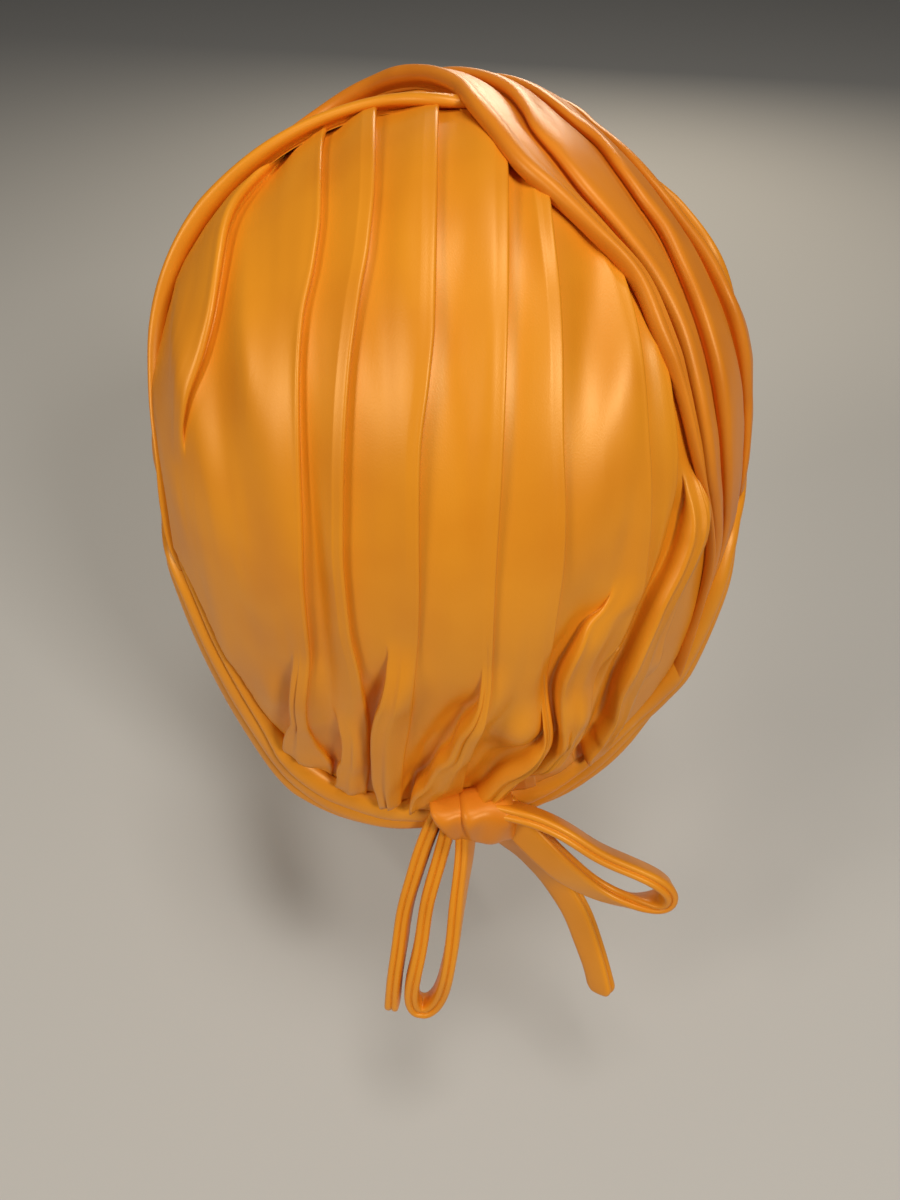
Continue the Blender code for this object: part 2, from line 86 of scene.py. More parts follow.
# Patches of colour and the grain of the weave: size of the noise (per metre), its detail,
# what part of the noise the patches use, and the strength and depth (m) of the grain
PATCH_SCALE = 38.0
PATCH_DETAIL = 2.0
PATCH_RANGE = (0.3, 0.6)
GRAIN_SCALE = 2600.0
GRAIN_DETAIL = 3.0
GRAIN_STRENGTH = 0.35
GRAIN_DEPTH = 0.00007

# The hollow that the head fills: its centre, half sizes, and the power of its rounded shape.
# A degree over the back of the cap is so many millimetres.
CENTRE = np.array([0.0, -22.0, 12.0])
HALF_WIDTH = 80.0
BACK_DEPTH = 76.0
FRONT_DEPTH = 119.0
TOP_HEIGHT = 92.0
LOWER_HEIGHT = 240.0
FULLNESS = 2.05
MM_PER_DEGREE = 1.45

# Middle line of the rim band: azimuth from the nape towards the wearer's right, height, width
RIM = (
    (-180, 7, 12), (-150, 9, 12), (-120, 14, 12), (-95, 17, 12), (-75, 16, 12), (-64, 11, 13),
    (-58, 3, 14), (-55, -8, 15), (-51, -21, 16), (-47, -33, 17), (-41, -45, 17), (-34, -53, 16),
    (-25, -58, 14), (-16, -59, 13), (-6, -57, 12), (14, -54, 11), (22, -51, 12), (30, -47, 13),
    (38, -42, 14), (46, -35, 14), (53, -24, 14), (58, -10, 13), (62, 4, 13), (67, 13, 12),
    (80, 17, 12), (95, 17, 12), (120, 14, 12), (150, 9, 12), (180, 7, 12),
)

# Pleat edges from the wearer's left to right: alpha at each beta, then the step at each beta.
# The cloth at the left of an edge lies over the cloth at its right.
PLEATS = (
    (((-45, -40), (-10, -50), (20, -48.5), (41, -44.9), (49, -41.2), (57, -37.1), (63, -34.5),
      (70, -32.5), (78, -31), (84, -29.4), (88, -27.6), (92, -25)),
     ((36, 0), (46, 1.6), (60, 3.2), (80, 3.6), (92, 3.0))),
    (((-38, -20.5), (-34, -22.5), (-29, -24), (-20, -24.9), (-3, -24.4), (12, -24), (27, -22.8),
      (40, -21.6), (49, -20.6), (57, -19.3), (64, -17.5), (71, -16.7), (89, -17.5)),
     ((-38, 2.4), (-25, 1.6), (0, 2.2), (35, 2.6), (60, 2.2), (89, 2.0))),
    (((-33, -14), (-18, -14.8), (-5, -15.3), (7, -16.4), (18, -16.5), (31, -15.5), (41, -14.3),
      (49, -13.1), (58, -11.4), (65, -10.1), (74, -9.5), (95, -10.1)),
     ((-33, 2.4), (-18, 2.0), (0, 2.0), (30, 2.2), (60, 2.2), (95, 2.2))),
    (((-36, -8), (-28, -7.9), (-17, -6.9), (-5, -5.9), (11, -4.9), (25, -4.5), (37, -4), (47, -2.6),
      (54, -1.9), (70, -1.6), (95, -1.5)),
     ((-36, 2.0), (-20, 1.2), (0, 1.0), (20, 1.6), (40, 2.6), (52, 2.4), (70, 1.8), (95, 1.8))),
    (((-34, 2.2), (-25, 3.1), (-18, 4.3), (-11, 6), (-3, 7), (15, 7.1), (37, 7.4), (80, 7.3)),
     ((-34, 2.4), (-20, 1.8), (-5, 1.3), (15, 1.2), (35, 1.4), (55, 1.8), (80, 2.4))),
    (((-35, 8.4), (-30, 12.9), (-25, 16.6), (-19, 17.9), (-3, 17.5), (17, 17.8), (28, 17.2),
      (39, 16), (50, 15), (58, 14.1), (66, 13), (73, 12.4)),
     ((-35, 2.4), (-22, 2.2), (-10, 1.4), (5, 1.3), (40, 1.2), (55, 1.6), (66, 2.4), (73, 2.6))),
    (((-33, 14.5), (-28, 19.2), (-20, 22.2), (-7, 26.5), (-2, 30), (6, 32.2), (12, 33.4), (22, 33),
      (33, 31.3), (43, 28.9), (53, 26.4), (65, 22.8)),
     ((-33, 1.6), (-10, 1.4), (6, 1.3), (33, 1.3), (50, 1.8), (65, 2.4))),
    (((-29, 22), (-24, 25), (-9, 29.6), (5, 34.3), (18, 37), (29, 37.4), (37, 36.4), (47, 33.4),
      (54, 31)),
     ((-29, 1.4), (-9, 1.3), (18, 1.3), (40, 1.5), (52, 1.8))),
    (((-29, 32.2), (-24, 35.7), (-16, 39), (-8, 41.5), (5, 43.8), (16, 46.1), (23, 46.1), (30, 44.7),
      (37, 42.7), (48, 38)),
     ((-29, 1.0), (0, 1.6), (16, 2.2), (30, 2.2), (38, 0.8), (42, 0))),
)

# Alpha where the pleats end at the two sides, and of the crown's own ends
SIDE_LINES = (-60.0, 55.0)
END_LINES = (-83.5, 83.5)

# Cross-section of a pleat's edge: place when folded, place when flat (mm), level of the step.
# It is rolled in full from a step of LIP_FULL_STEP on, and takes up to LIP_ROOM of the gap to
# the next line. Flat places over LIP_MIDDLE lie ahead of the line. Where a lip of usual width
# has less room than LIP_TIGHT (mm) on a side, it is rolled less there.
LIP = (
    (-2.6, -2.6, 0.86), (-1.8, -2.2, 0.89), (-1.1, -1.8, 0.94), (-0.6, -1.4, 1.0), (-0.22, -1.0, 0.99),
    (0.0, -0.7, 0.86), (0.06, -0.4, 0.68), (-0.1, -0.1, 0.5), (-0.5, 0.2, 0.32), (-0.9, 0.5, 0.16),
    (-0.7, 0.8, 0.05), (0.0, 1.1, 0.0), (0.9, 1.4, 0.0),
)
LIP_FULL_STEP = 1.5
LIP_ROOM = 0.42
LIP_MIDDLE = -0.4
LIP_TIGHT = 1.4
TUCK_LIP_WIDTH = 1.3

# How much wider than usual each pleat's edge is rolled, from the wearer's left to right
LIP_WIDTHS = (2.1, 1.0, 1.0, 1.0, 0.8, 0.8, 0.8, 0.9, 1.7)

# Tucks above the nape, whose lips face the wearer's left: height, reach to the right in degrees,
# alpha at each beta
TUCKS = (
    (3.6, 7.0, ((-36, -29.3), (-28, -29), (-22, -28), (-17, -27), (-10, -26.3), (-2, -25.5))),
    (3.8, 5.5, ((-42, -20.6), (-35, -19.5), (-31, -18.9), (-25, -19.1), (-16, -21))),
    (4.3, 7.0, ((-42, -11.2), (-37, -12), (-32, -13.8), (-25, -13.9), (-19, -13.5), (-13, -12.8),
                (-9, -11.8), (-1, -10.7), (5, -10.6))),
    (4.9, 7.0, ((-40, -8.2), (-35, -6.3), (-31, -4.2), (-25, -2.2), (-22, -0.5), (-16, 1.4), (-12, 3.4),
                (-8, 4.9), (0, 5.4))),
    (4.8, 6.5, ((-40, 1), (-34, 5.4), (-31, 7.6), (-28, 10.3), (-25, 13), (-21, 16), (-12, 16.5))),
    (4.0, 8.0, ((-26, 17.5), (-16, 17.6), (-11, 18.1), (-7, 19), (-2, 20.2), (2, 21.7), (6, 23.4),
                (9, 25.8), (15, 27.6))),
    (4.6, 7.0, ((-34, 23.5), (-29, 26.1), (-19, 29.9), (-10, 31.8), (5, 35.8), (15, 39.1), (20, 40.1),
                (27, 40.3), (33, 39.3), (36, 38.6))),
)

# Valley at the left of a tuck: depth as a share of its height, and reach in degrees. How full
# the tuck's cloth bulges at the right of its lip.
TUCK_DIP = 0.6
TUCK_DIP_REACH = 5.0
TUCK_BULGE = 1.3

# Room that a tuck's line keeps to the pleats beside it, as a share of the way between them,
# and how far past its two ends it takes to come back to the middle (degrees)
TUCK_ROOM = (0.14, 0.86)
TUCK_PAST = (14.0, 16.0)

# A tuck dies out towards its top end and past its low end: start and length of each (degrees)
TUCK_FADE_TOP = (1.0, 17.0)
TUCK_FADE_LOW = (8.0, 5.0)

# Level at which the cloth of a panel or a tuck meets its lip, and the power with which a panel
# rises to it, from PANEL_MARGIN degrees after one edge, with PANEL_MARGINS at both together
PANEL_RISE = 0.86
PANEL_POWER = 1.5
PANEL_MARGIN = 0.6
PANEL_MARGINS = 2.4

# Soft waves of the crown: height, width (mm), length (degrees), seed
CROWN_WAVES = ((0.6, 15.0, 28.0, 3), (0.46, 6.5, 34.0, 5), (0.12, 3.2, 13.0, 7))

# Rows of the crown up to TOP_UNDER degrees under the swaths, but at least ROWS_LEAST off the
# rim, and from there on, width (mm) of its columns between two lips, and fewest and most of them
CROWN_ROWS = (138, 20)
TOP_UNDER = 10.0
ROWS_LEAST = 4.0
COLUMN_WIDTH = 1.15
COLUMN_COUNTS = (3, 16)

# Where the crown changes, as (start, length) in degrees, but in mm at the band: all its cloth
# sinks under the swaths, at both sides and at the band, its pleats alone at the band and under
# the swaths, and its base rises to the left and towards the nape
CLEAR_TOP = (14.0, 8.0)
CLEAR_LEFT = (2.0, 4.0)
CLEAR_RIGHT = (1.0, 4.0)
CLEAR_BAND = (3.0, 6.0)
PLEATS_BAND = (0.5, 6.5)
PLEATS_TOP = (5.0, 6.0)
RISE_LEFT = (-26.0, 24.0)
RISE_NAPE = (30.0, 50.0)

# Soft bumps and dents of the crown: alpha, beta, half width, half length, height
BUMPS = (
    (-36, 80, 9, 9, 1.3),
    (-36, 50, 4, 18, -1.6),
    (-22, 20, 2.0, 28, -1.0),
    (-29, 60, 2.5, 16, 0.7),
    (-43, 62, 3, 14, 0.8),
    (1.0, 44, 3.5, 18, -1.4),
    (-6, 66, 2.5, 16, 0.6),
    (4, 78, 2.5, 12, 0.6),
    (19.5, 60, 2.5, 14, -1.2),
    (24.5, 48, 2.5, 12, 0.8),
    (20, 27, 4, 12, 0.7),
    (29, 16, 3, 12, -0.9),
    (12.5, -19, 4.0, 4.5, 3.0),
    (22.5, -15, 3.2, 4.5, 2.8),
    (7.0, -26, 2.5, 5, -2.2),
    (38, -13, 2.6, 5, 2.0),
    (31, -18, 2, 7, -1.2),
    (-7, -7, 3, 7, 1.2),
    (-3.5, -24, 2.2, 6, -2.0),
    (23, 9, 3, 7, -1.5),
    (0.5, -15, 3, 7, -1.4),
    (-24, -12, 3, 8, 0.9),
    (-18, -30, 2.0, 7, -2.0),
    (-33, -22, 3, 8, 1.2),
    (-45, 20, 7, 25, 0.5),
    (-38, -2, 4, 14, -0.7),
    (27, 40, 3, 20, 0.4),
)

# Beta of the swaths' rear edges at each alpha, where the crown goes under them
PANEL_TOP = (
    (-60, 50), (-57, 64), (-53, 74), (-45, 82), (-37, 87), (-27, 90), (-17, 94), (-2, 94), (1.3, 92),
    (4.3, 83), (7.9, 76), (12.1, 72), (17.3, 68), (23.9, 63), (28.3, 56), (33.8, 48), (38.3, 40),
    (41.8, 33), (46.2, 24), (49.5, 14), (52, 0), (54, -30),
)

# Heights over the hollow (mm). CROWN_LEFT and CROWN_NAPE are added to the base at the left and
# over the nape, and SWATH_WALL, SWATH_FOLD and a row's lift are added to SWATH_INSIDE.
CROWN_INSIDE = 0.4
CROWN_LOW = 2.3
CROWN_BASE = 4.1
CROWN_LEFT = 1.4
CROWN_NAPE = 1.0
SWATH_INSIDE = 3.4
SWATH_LOW = 0.4
SWATH_WALL = 1.6
SWATH_FOLD = 3.4
BAND_INSIDE = 2.5
BAND_GROOVE = 3.0
BAND_TOP = 8.9

# Swaths, from the rim at one side over the top to the rim at the other side of the front.
# Each row is one cross line: alpha and beta of every fold's lip from rear to front, then of the
# front edge, then the lift at the rear, the lift at the front and the share of relief. A RIM
# has the azimuths at which these lines start and end under the band.
LEFT_SWATH = (
    (-60.0, 8, -62.5, 14, -67, 45, -73, 80, -78, 125, -1.8, -1.8, 0.45),
    (-60.0, 35, -62.0, 45, -66, 70, -70, 90, -75, 115, -3, -3, 0.4),
    (-58.5, 58, -60.0, 67, -63.5, 84, -66, 96, -68, 110, -2, -2.6, 0.65),
    (-54.0, 73, -55.5, 80, -57.5, 90, -59.5, 99, -60.5, 109, 0, -1.2, 0.8),
    (-46.0, 81.5, -47.5, 87, -49, 96, -50.5, 104, -51.5, 114, 1.8, 0.2, 0.7),
    (-37.0, 86.5, -38.0, 91, -39.5, 100, -41, 109, -42, 118, 2.4, 0, 0.4),
    (-27.5, 89.5, -28.5, 93.5, -30, 103, -31, 111, -32, 121, 2.4, -0.6, 0.2),
    (-17.5, 92.5, -18.0, 96, -19.5, 105, -20.5, 113, -21, 123, 1.6, -1.2, 0.1),
    (-9.0, 93.5, -9.0, 97, -9.3, 104, -9.6, 112, -10, 124, 0.8, -2, 0.08),
    (0.5, 91.5, 0.5, 96, 0.5, 105, -0.2, 116, -1, 131, 0, -2.2, 0.08),
    (10.0, 94, 9.0, 100, 7, 112, 5, 126, 3, 140, -0.8, -2.6, -0.5),
    (20.0, 101, 16.5, 108, 12, 121, 8, 134, 4, 147, -3, -3, -0.5),
    (31.0, 106, 26, 115, 18, 130, 10, 142, 2.5, 153, -3, -2.6, 0.0),
    (46.5, 95, 41, 110, 29, 131, 15, 147, 2, 160, -0.8, -0.8, 0.7),
    (60.5, 95, 54, 115, 40, 139, 20, 156, 2, 167, -1.5, -0.4, 0.8),
    (72.5, 110, 68, 128, 54, 149, 27, 164, 2, 172, -2.2, 0.0, 0.4),
)
LEFT_RIM = ((-60, -63, -76, -90, -104), (106, 113, 124, 150, 178.7))

RIGHT_SWATH = (
    (51.8, -3, 53.3, -3, 57.5, 4, 66, 30, 79, 112, 0, -2, 0.5),
    (49.6, 14, 51.3, 14, 55.8, 18, 64, 45, 75, 109, 0, -2.4, 0.7),
    (46.0, 24, 47.7, 24, 53.0, 26, 61, 55, 71, 104, 0, -2.2, 0.8),
    (41.8, 33, 43.4, 33, 49.5, 35.5, 57.5, 60, 68, 99, 0, -1.6, 0.9),
    (38.1, 40, 40.0, 41, 46.0, 44, 54, 64, 64.5, 95, 0, -0.8, 1),
    (33.8, 48, 36.5, 49, 42.4, 52, 49.5, 69, 59, 91, 0, -0.3, 1),
    (28.3, 56, 32.4, 57.5, 38.5, 60, 45, 74, 53, 89, 0, -0.6, 1),
    (23.9, 63, 28.1, 63.5, 34.3, 68, 41, 80, 48, 90, 0, -1.4, 1),
    (17.3, 68, 22.5, 69.5, 30.5, 75.5, 36, 85, 41, 93, 0, -2.2, 0.9),
    (12.1, 72, 17.0, 75, 26.4, 80, 31.5, 89.5, 35.5, 98, 0, -1.8, 0.8),
    (7.9, 76, 13.4, 80.5, 23.0, 85.5, 27.3, 95, 30.5, 103.5, 0.2, -1.6, 0.75),
    (4.3, 83, 10.6, 86, 20.6, 92, 24, 101, 27, 110, 0.6, -1.9, 0.7),
    (2.3, 88, 9.6, 91, 17.9, 95.5, 22, 105, 25, 115, 1, -2.2, 0.75),
    (0.5, 95, 8.0, 97, 15.2, 99.5, 20, 110, 24, 121, 1.4, -1.8, 0.8),
    (-3.0, 103, 5.0, 103.5, 12.0, 106, 16.5, 117, 20, 130, 1.6, -1, 0.8),
    (-8.0, 111, 0.0, 112, 6.5, 117, 10, 127, 12, 139, 1.4, -0.5, 0.8),
    (-14.0, 118.5, -7.0, 122, -1.5, 129, 2, 138, 5, 147, 0.8, -0.3, 0.8),
    (-22.0, 123, -15, 129, -8, 138, -3.5, 146, 0, 154, 0.2, -0.3, 0.8),
    (-33.0, 121.5, -26, 132, -16, 144, -8, 152, -1.5, 160, 0.2, 0, 0.9),
    (-51.0, 116.5, -44, 134, -31, 150, -15, 159, -1.5, 167, -0.6, 0.2, 0.8),
    (-74.0, 113, -70, 134, -57, 154, -28, 166, -1.5, 172, -2.4, 0.0, 0.4),
)
RIGHT_RIM = ((51.5, 54, 58, 72, 104), (-106, -111, -122, -151, -178.7))

# How much higher than usual the band stands: azimuth, height
BAND_SHIFT = (
    (-180, -1), (-100, -3.4), (-78, -4.4), (-70, -3.6), (-66, -2.4), (-61, -1), (-55, -0.5),
    (-45, 0), (-36, 1), (-20, 0.5), (0, 0), (20, -1), (31, -2.2), (43, -3), (49, -1.6), (54, 0.2),
    (60, 0.1), (65, -1.6), (68, -2.7), (76, -3), (100, -2.4), (180, -1),
)

# Level of a fold's face from its lip (place 0) to where it goes under the next lip (place 1)
FOLD_FACE = (
    (0.0, 1.05), (0.12, 1.02), (0.3, 0.93), (0.55, 0.8), (0.8, 0.52), (0.93, 0.2), (1.0, 0.0),
)

# Cross-sections of a swath's rear lip, of the lips between and of the front edge: place across
# the lip towards the front (mm), level of the fold
FOLD_START = (
    (4.2, -0.9), (3.2, -0.55), (2.0, -0.25), (1.0, -0.1), (0.3, 0.08), (-0.02, 0.3), (-0.08, 0.5),
    (0.04, 0.7), (0.3, 0.87), (0.75, 0.99), (1.35, 1.05), (2.1, 1.05), (2.9, 0.96), (3.6, 0.8),
)
FOLD_LIP = (
    (-1.1, 0.1), (-0.5, 0.02), (0.3, 0.0), (0.9, 0.04), (0.6, 0.16), (0.15, 0.32), (-0.05, 0.5),
    (0.0, 0.68), (0.25, 0.84), (0.7, 0.97), (1.3, 1.04), (2.0, 1.06),
)
FOLD_END = ((-1.6, 0.46), (-0.9, 0.36), (-0.4, 0.2), (-0.1, 0.0), (0.0, -0.2), (-0.3, -0.35))

# Swaths: usual distance of the cloth from the centre, gap from which a lip is full wide, share
# of relief at the two rims, how much fuller the rear lip is, and reach under the band (mm)
SWATH_RADIUS = 90.0
FOLD_FULL_GAP = 7.0
RIM_RELIEF = (0.3, 0.05)
REAR_LIP_MORE = 0.6
UNDER_BAND = 3.0

# Share of a fold's height where two lips meet, and the gap over which it gains a whole height
FOLD_LEAST = 0.35
FOLD_GAIN_GAP = 9.0

# Soft waves of the swaths: height, length, width (mm)
SWATH_WAVES = ((0.35, 26.0, 9.0), (0.14, 13.0, 3.0))

# Faces of a fold: points across with both ends, least level at the front edge, how far they
# begin after the rear lip and the others, and how far they end before the next one (mm)
FACE_POINTS = 13
FOLD_FRONT_LEVEL = 0.5
FACE_START_REAR = 3.8
FACE_START = 2.0
FACE_END = 1.1

# Grooves between the band's three rolls: azimuth, place of the upper and of the lower groove
GROOVES = (
    (-180, 0.17, -0.17), (-90, 0.18, -0.16), (-60, 0.3, -0.05), (-48, 0.32, -0.08), (-36, 0.19, -0.22),
    (-22, 0.08, -0.28), (-6, 0.05, -0.3), (14, 0.05, -0.3), (30, 0.14, -0.2), (40, 0.15, -0.2),
    (52, 0.05, -0.3), (60, 0.1, -0.24), (90, 0.16, -0.18), (180, 0.17, -0.17),
)

# Band: rings round the rim, points and roundness of a roll, width from which a roll is full high
# and its least share, height of the band's feet over its inside, places of the inside's points,
# how far it goes under the knot, and height and length (degrees) of its waves
BAND_RINGS = 430
ROLL_POINTS = 12
ROLL_POWER = 0.6
ROLL_FULL = 4.4
ROLL_LEAST = 0.35
BAND_FOOT = 0.8
BAND_PLACES = (-0.42, 0.0, 0.42)
BAND_UNDER_KNOT = 3.0
BAND_WAVE = 0.3
BAND_WAVE_LENGTH = 11.0

# Knot: half sizes sideways, upwards and outwards, where it sits, its sides and their roundness,
# and how much deeper its lower half is
KNOT_HALF = (14.0, 8.2, 7.0)
KNOT_AZIMUTH = 4.6
KNOT_HEIGHT = -46.0
KNOT_STAND_OFF = 1.0
KNOT_SIDES = 40
KNOT_POWER = 0.6
KNOT_BELOW = 1.14

# Rings of a wrap, as shares of the way from its left to its right edge. Over WRAP_ROUND of the
# way it grows from WRAP_EDGE of its size by WRAP_ROUNDING, and it waves a little.
WRAP_RINGS = (0, 0.01, 0.035, 0.08, *np.linspace(0.14, 0.86, 13), 0.92, 0.965, 0.99, 1)
WRAP_ROUND = 0.16
WRAP_EDGE = 0.72
WRAP_ROUNDING = 0.28
WRAP_WAVE = 0.55
WRAP_WAVE_TURNS = (9.0, 4.5)

# Wraps of the knot: left edge at the top and at the bottom, right edge at the top and at the
# bottom (mm from the middle), and how much bigger than the knot's half sizes it is (mm)
WRAPS = (
    (-13.4, -5.0, 1.5, 3.5, -1.5),
    (-4.4, -1.2, 11.2, 12.2, -0.4),
)

# Ties: the folded strap's width and thickness, the middle line of each tie from inside the
# knot outwards, the way its flat side lies, and how long a free end is rounded in its width
# and in its thickness (mm)
STRAP_WIDTH = 9.6
STRAP_THICKNESS = 4.3
LEFT_LOOP = (
    (1.5, -98, -56), (-1.0, -103, -65), (-3.8, -109, -74), (-7, -115, -83), (-8.6, -122, -95),
    (-10.9, -128, -104), (-12.5, -131, -114.5), (-10.4, -133, -121.5), (-5.8, -133, -119),
    (-2.8, -131, -112), (-0.6, -128, -101), (1.2, -122, -90.5), (2.6, -115, -79), (4.2, -109, -71),
    (5.0, -103, -65), (4.5, -98, -57),
)
LEFT_TAIL = (
    (-2.0, -98, -56), (-6.8, -103.5, -66), (-10.5, -109.5, -76.5), (-13.6, -115, -87),
    (-15.5, -122, -98), (-17.3, -128, -109), (-18.3, -132, -120),
)
RIGHT_LOOP = (
    (14, -104, -49), (22.0, -107.5, -47), (31, -110.5, -49), (42, -114, -56.5), (53.5, -116, -62),
    (60.5, -118, -65), (64.3, -119, -69.5), (62.4, -119, -75.5), (56, -118, -78.5), (48, -116, -78),
    (39, -114, -73), (31, -112, -65), (22.2, -107, -57), (14.5, -102, -51),
)
RIGHT_TAIL = (
    (9.5, -98, -54), (15.5, -101, -64), (26, -100.5, -81), (35, -102, -96), (41.3, -108, -104.5),
    (45.2, -114, -113), (48.4, -120, -120.5), (50.7, -125, -128.5),
)
STRAP_FLAT = (0.0, -0.75, 0.65)
TAIL_ROUND_WIDE = 4.4
TAIL_ROUND_THICK = 2.0

# Each tie: name, middle line, degrees that its flat side has turned at each share of its
# length, rings along it, whether it ends free, and the seed of its waves
TIES = (
    ("left_loop", LEFT_LOOP, ((0, 10), (0.4, 0), (0.6, 0), (1, -25)), 110, False, 51),
    ("left_tail", LEFT_TAIL, ((0, 15), (1, 5)), 150, True, 52),
    ("right_loop", RIGHT_LOOP, ((0, 0), (0.48, 0), (0.62, 25), (0.8, 56), (1, 60)), 110, False, 53),
    ("right_tail", RIGHT_TAIL, ((0, -50), (0.6, -50), (1, -42)), 170, True, 54),
)

# A quarter of the strap's outline, as shares of half its width and thickness, the groove in
# its folded sides and the swell in its middle
STRAP_SIDE = (
    (0.88, -0.07), (0.94, -0.14), (0.99, -0.3), (1.0, -0.55), (0.95, -0.8), (0.82, -0.95), (0.6, -1.0),
)
STRAP_GROOVE = 0.84
STRAP_MIDDLE = 1.04


def ease(x):
    """Smooth step from 0 at x = 0 to 1 at x = 1."""
    x = np.clip(x, 0.0, 1.0)
    return x * x * (3.0 - 2.0 * x)


def smooth(table, x):
    """Read y at x from a short table of (x, y) rows through a curve that does not overshoot."""
    xs, ys = np.array(sorted(table), float).T
    step = np.diff(xs)
    slope = np.diff(ys) / step
    tangent = np.empty(len(xs))
    tangent[0], tangent[-1] = slope[0], slope[-1]
    pairs = slope[:-1] * slope[1:]
    mean = slope[:-1] + slope[1:]
    tangent[1:-1] = np.where(pairs > 0, 2 * pairs / np.where(mean == 0, 1, mean), 0.0)
    x = np.clip(x, xs[0], xs[-1])
    k = np.clip(np.searchsorted(xs, x, side="right") - 1, 0, len(step) - 1)
    t = (x - xs[k]) / step[k]
    left = (1 + 2 * t) * (1 - t) ** 2 * ys[k] + t * (1 - t) ** 2 * step[k] * tangent[k]
    right = t * t * (3 - 2 * t) * ys[k + 1] - t * t * (1 - t) * step[k] * tangent[k + 1]
    return left + right


def through(points, count):
    """Evenly spaced points on a smooth curve through rows of points (rows can be whole lines)."""
    points = np.asarray(points, float)
    flat = points.reshape(len(points), -1)
    step = np.linalg.norm(np.diff(flat, axis=0), axis=1)[:, None]
    slope = np.diff(flat, axis=0) / step
    inner = (slope[:-1] * step[1:] + slope[1:] * step[:-1]) / (step[1:] + step[:-1])
    tangent = np.concatenate([slope[:1], inner, slope[-1:]])
    fine = []
    for k, size in enumerate(step):
        for t in np.linspace(0, 1, 24, endpoint=False):
            fine.append((1 + 2 * t) * (1 - t) ** 2 * flat[k] + t * (1 - t) ** 2 * size * tangent[k]
                        + t * t * (3 - 2 * t) * flat[k + 1] - t * t * (1 - t) * size * tangent[k + 1])
    fine = np.array(fine + [flat[-1]])
    along = np.concatenate([[0], np.cumsum(np.linalg.norm(np.diff(fine, axis=0), axis=1))])
    where = np.linspace(0, along[-1], count)
    even = np.stack([np.interp(where, along, fine[:, j]) for j in range(fine.shape[1])], axis=1)
    return even.reshape((count,) + points.shape[1:])


def unit(v):
    return v / np.linalg.norm(v, axis=-1, keepdims=True)


def waves(x, y, seed):
    """Smooth noise between -1 and 1 on a plane, the same each run."""
    size = 64
    table = np.random.default_rng(seed).uniform(-1, 1, (size, size))
    x, y = np.broadcast_arrays(np.asarray(x, float), np.asarray(y, float))
    i, j = np.floor(x).astype(int), np.floor(y).astype(int)
    fx, fy = ease(x - i), ease(y - j)
    a = table[i % size, j % size] * (1 - fx) + table[(i + 1) % size, j % size] * fx
    b = table[i % size, (j + 1) % size] * (1 - fx) + table[(i + 1) % size, (j + 1) % size] * fx
    return a * (1 - fy) + b * fy


def direction(alpha, beta):
    a, b = np.radians(alpha), np.radians(beta)
    return np.stack([np.sin(a) + 0 * b, -np.cos(a) * np.cos(b), np.cos(a) * np.sin(b)], axis=-1)


def hollow_radius(d):
    """Distance from the centre to the hollow's wall in direction d."""
    depth = np.where(d[..., 1] < 0, BACK_DEPTH, FRONT_DEPTH)
    height = np.where(d[..., 2] > 0, TOP_HEIGHT, LOWER_HEIGHT)
    total = (np.abs(d[..., 0] / HALF_WIDTH) ** FULLNESS + np.abs(d[..., 1] / depth) ** FULLNESS
             + np.abs(d[..., 2] / height) ** FULLNESS)
    return total ** (-1.0 / FULLNESS)


def over_hollow(d, height):
    """The point at a height over the hollow's wall in direction d."""
    return CENTRE + d * (hollow_radius(d) + height)[..., None]


def azimuth_of(point):
    return np.degrees(np.arctan2(point[..., 0] - CENTRE[0], CENTRE[1] - point[..., 1]))


def rim_height(azimuth):
    return smooth([row[:2] for row in RIM], azimuth)


def rim_width(azimuth):
    return smooth([(row[0], row[2]) for row in RIM], azimuth)


def toward(azimuth, height):
    """Direction in which the hollow's wall stands at an azimuth and a height."""
    azimuth, height = np.broadcast_arrays(np.asarray(azimuth, float), np.asarray(height, float))
    a = np.radians(azimuth)
    flat = np.stack([np.sin(a), -np.cos(a), 0 * a], axis=-1)
    low, high = np.full(a.shape, -1.5), np.full(a.shape, 1.5)
    for _ in range(40):
        mid = (low + high) / 2
        d = flat * np.cos(mid)[..., None]
        d[..., 2] = np.sin(mid)
        above = CENTRE[2] + d[..., 2] * hollow_radius(d) > height
        high = np.where(above, mid, high)
        low = np.where(above, low, mid)
    return d


def rim_frame(azimuth):
    """Points of the rim's middle line on the hollow, and the unit vector across the band."""
    azimuth = np.asarray(azimuth, float)
    none = np.zeros(azimuth.shape)
    spread = 0.5
    here = over_hollow(toward(azimuth, rim_height(azimuth)), none)
    ahead = over_hollow(toward(azimuth + spread, rim_height(azimuth + spread)), none)
    behind = over_hollow(toward(azimuth - spread, rim_height(azimuth - spread)), none)
    across = unit(np.cross(unit(here - CENTRE), unit(ahead - behind)))
    return here, across * np.sign(across[..., 2:3])


def knot_frame():
    """Middle of the knot, and its unit vectors sideways, upwards and outwards."""
    d = toward(KNOT_AZIMUTH, KNOT_HEIGHT)
    middle = over_hollow(d, np.array(BAND_INSIDE + KNOT_HALF[2] + KNOT_STAND_OFF))
    out = unit(np.array([d[0], d[1], 0.0]))
    up = np.array([0.0, 0.0, 1.0])
    return middle, np.cross(up, out), up, out


def rim_distance(alpha, beta):
    """Distance over the hollow from a direction to the edge of the rim band."""
    azimuths = np.linspace(-180.0, 180.0, 241)
    rim, _ = rim_frame(azimuths)
    point = over_hollow(direction(alpha, beta), np.zeros(np.shape(beta)))
    best = np.full(np.shape(beta), 1e9)
    for place, half in zip(rim, rim_width(azimuths) / 2):
        best = np.minimum(best, np.linalg.norm(point - place, axis=-1) - half)
    return best


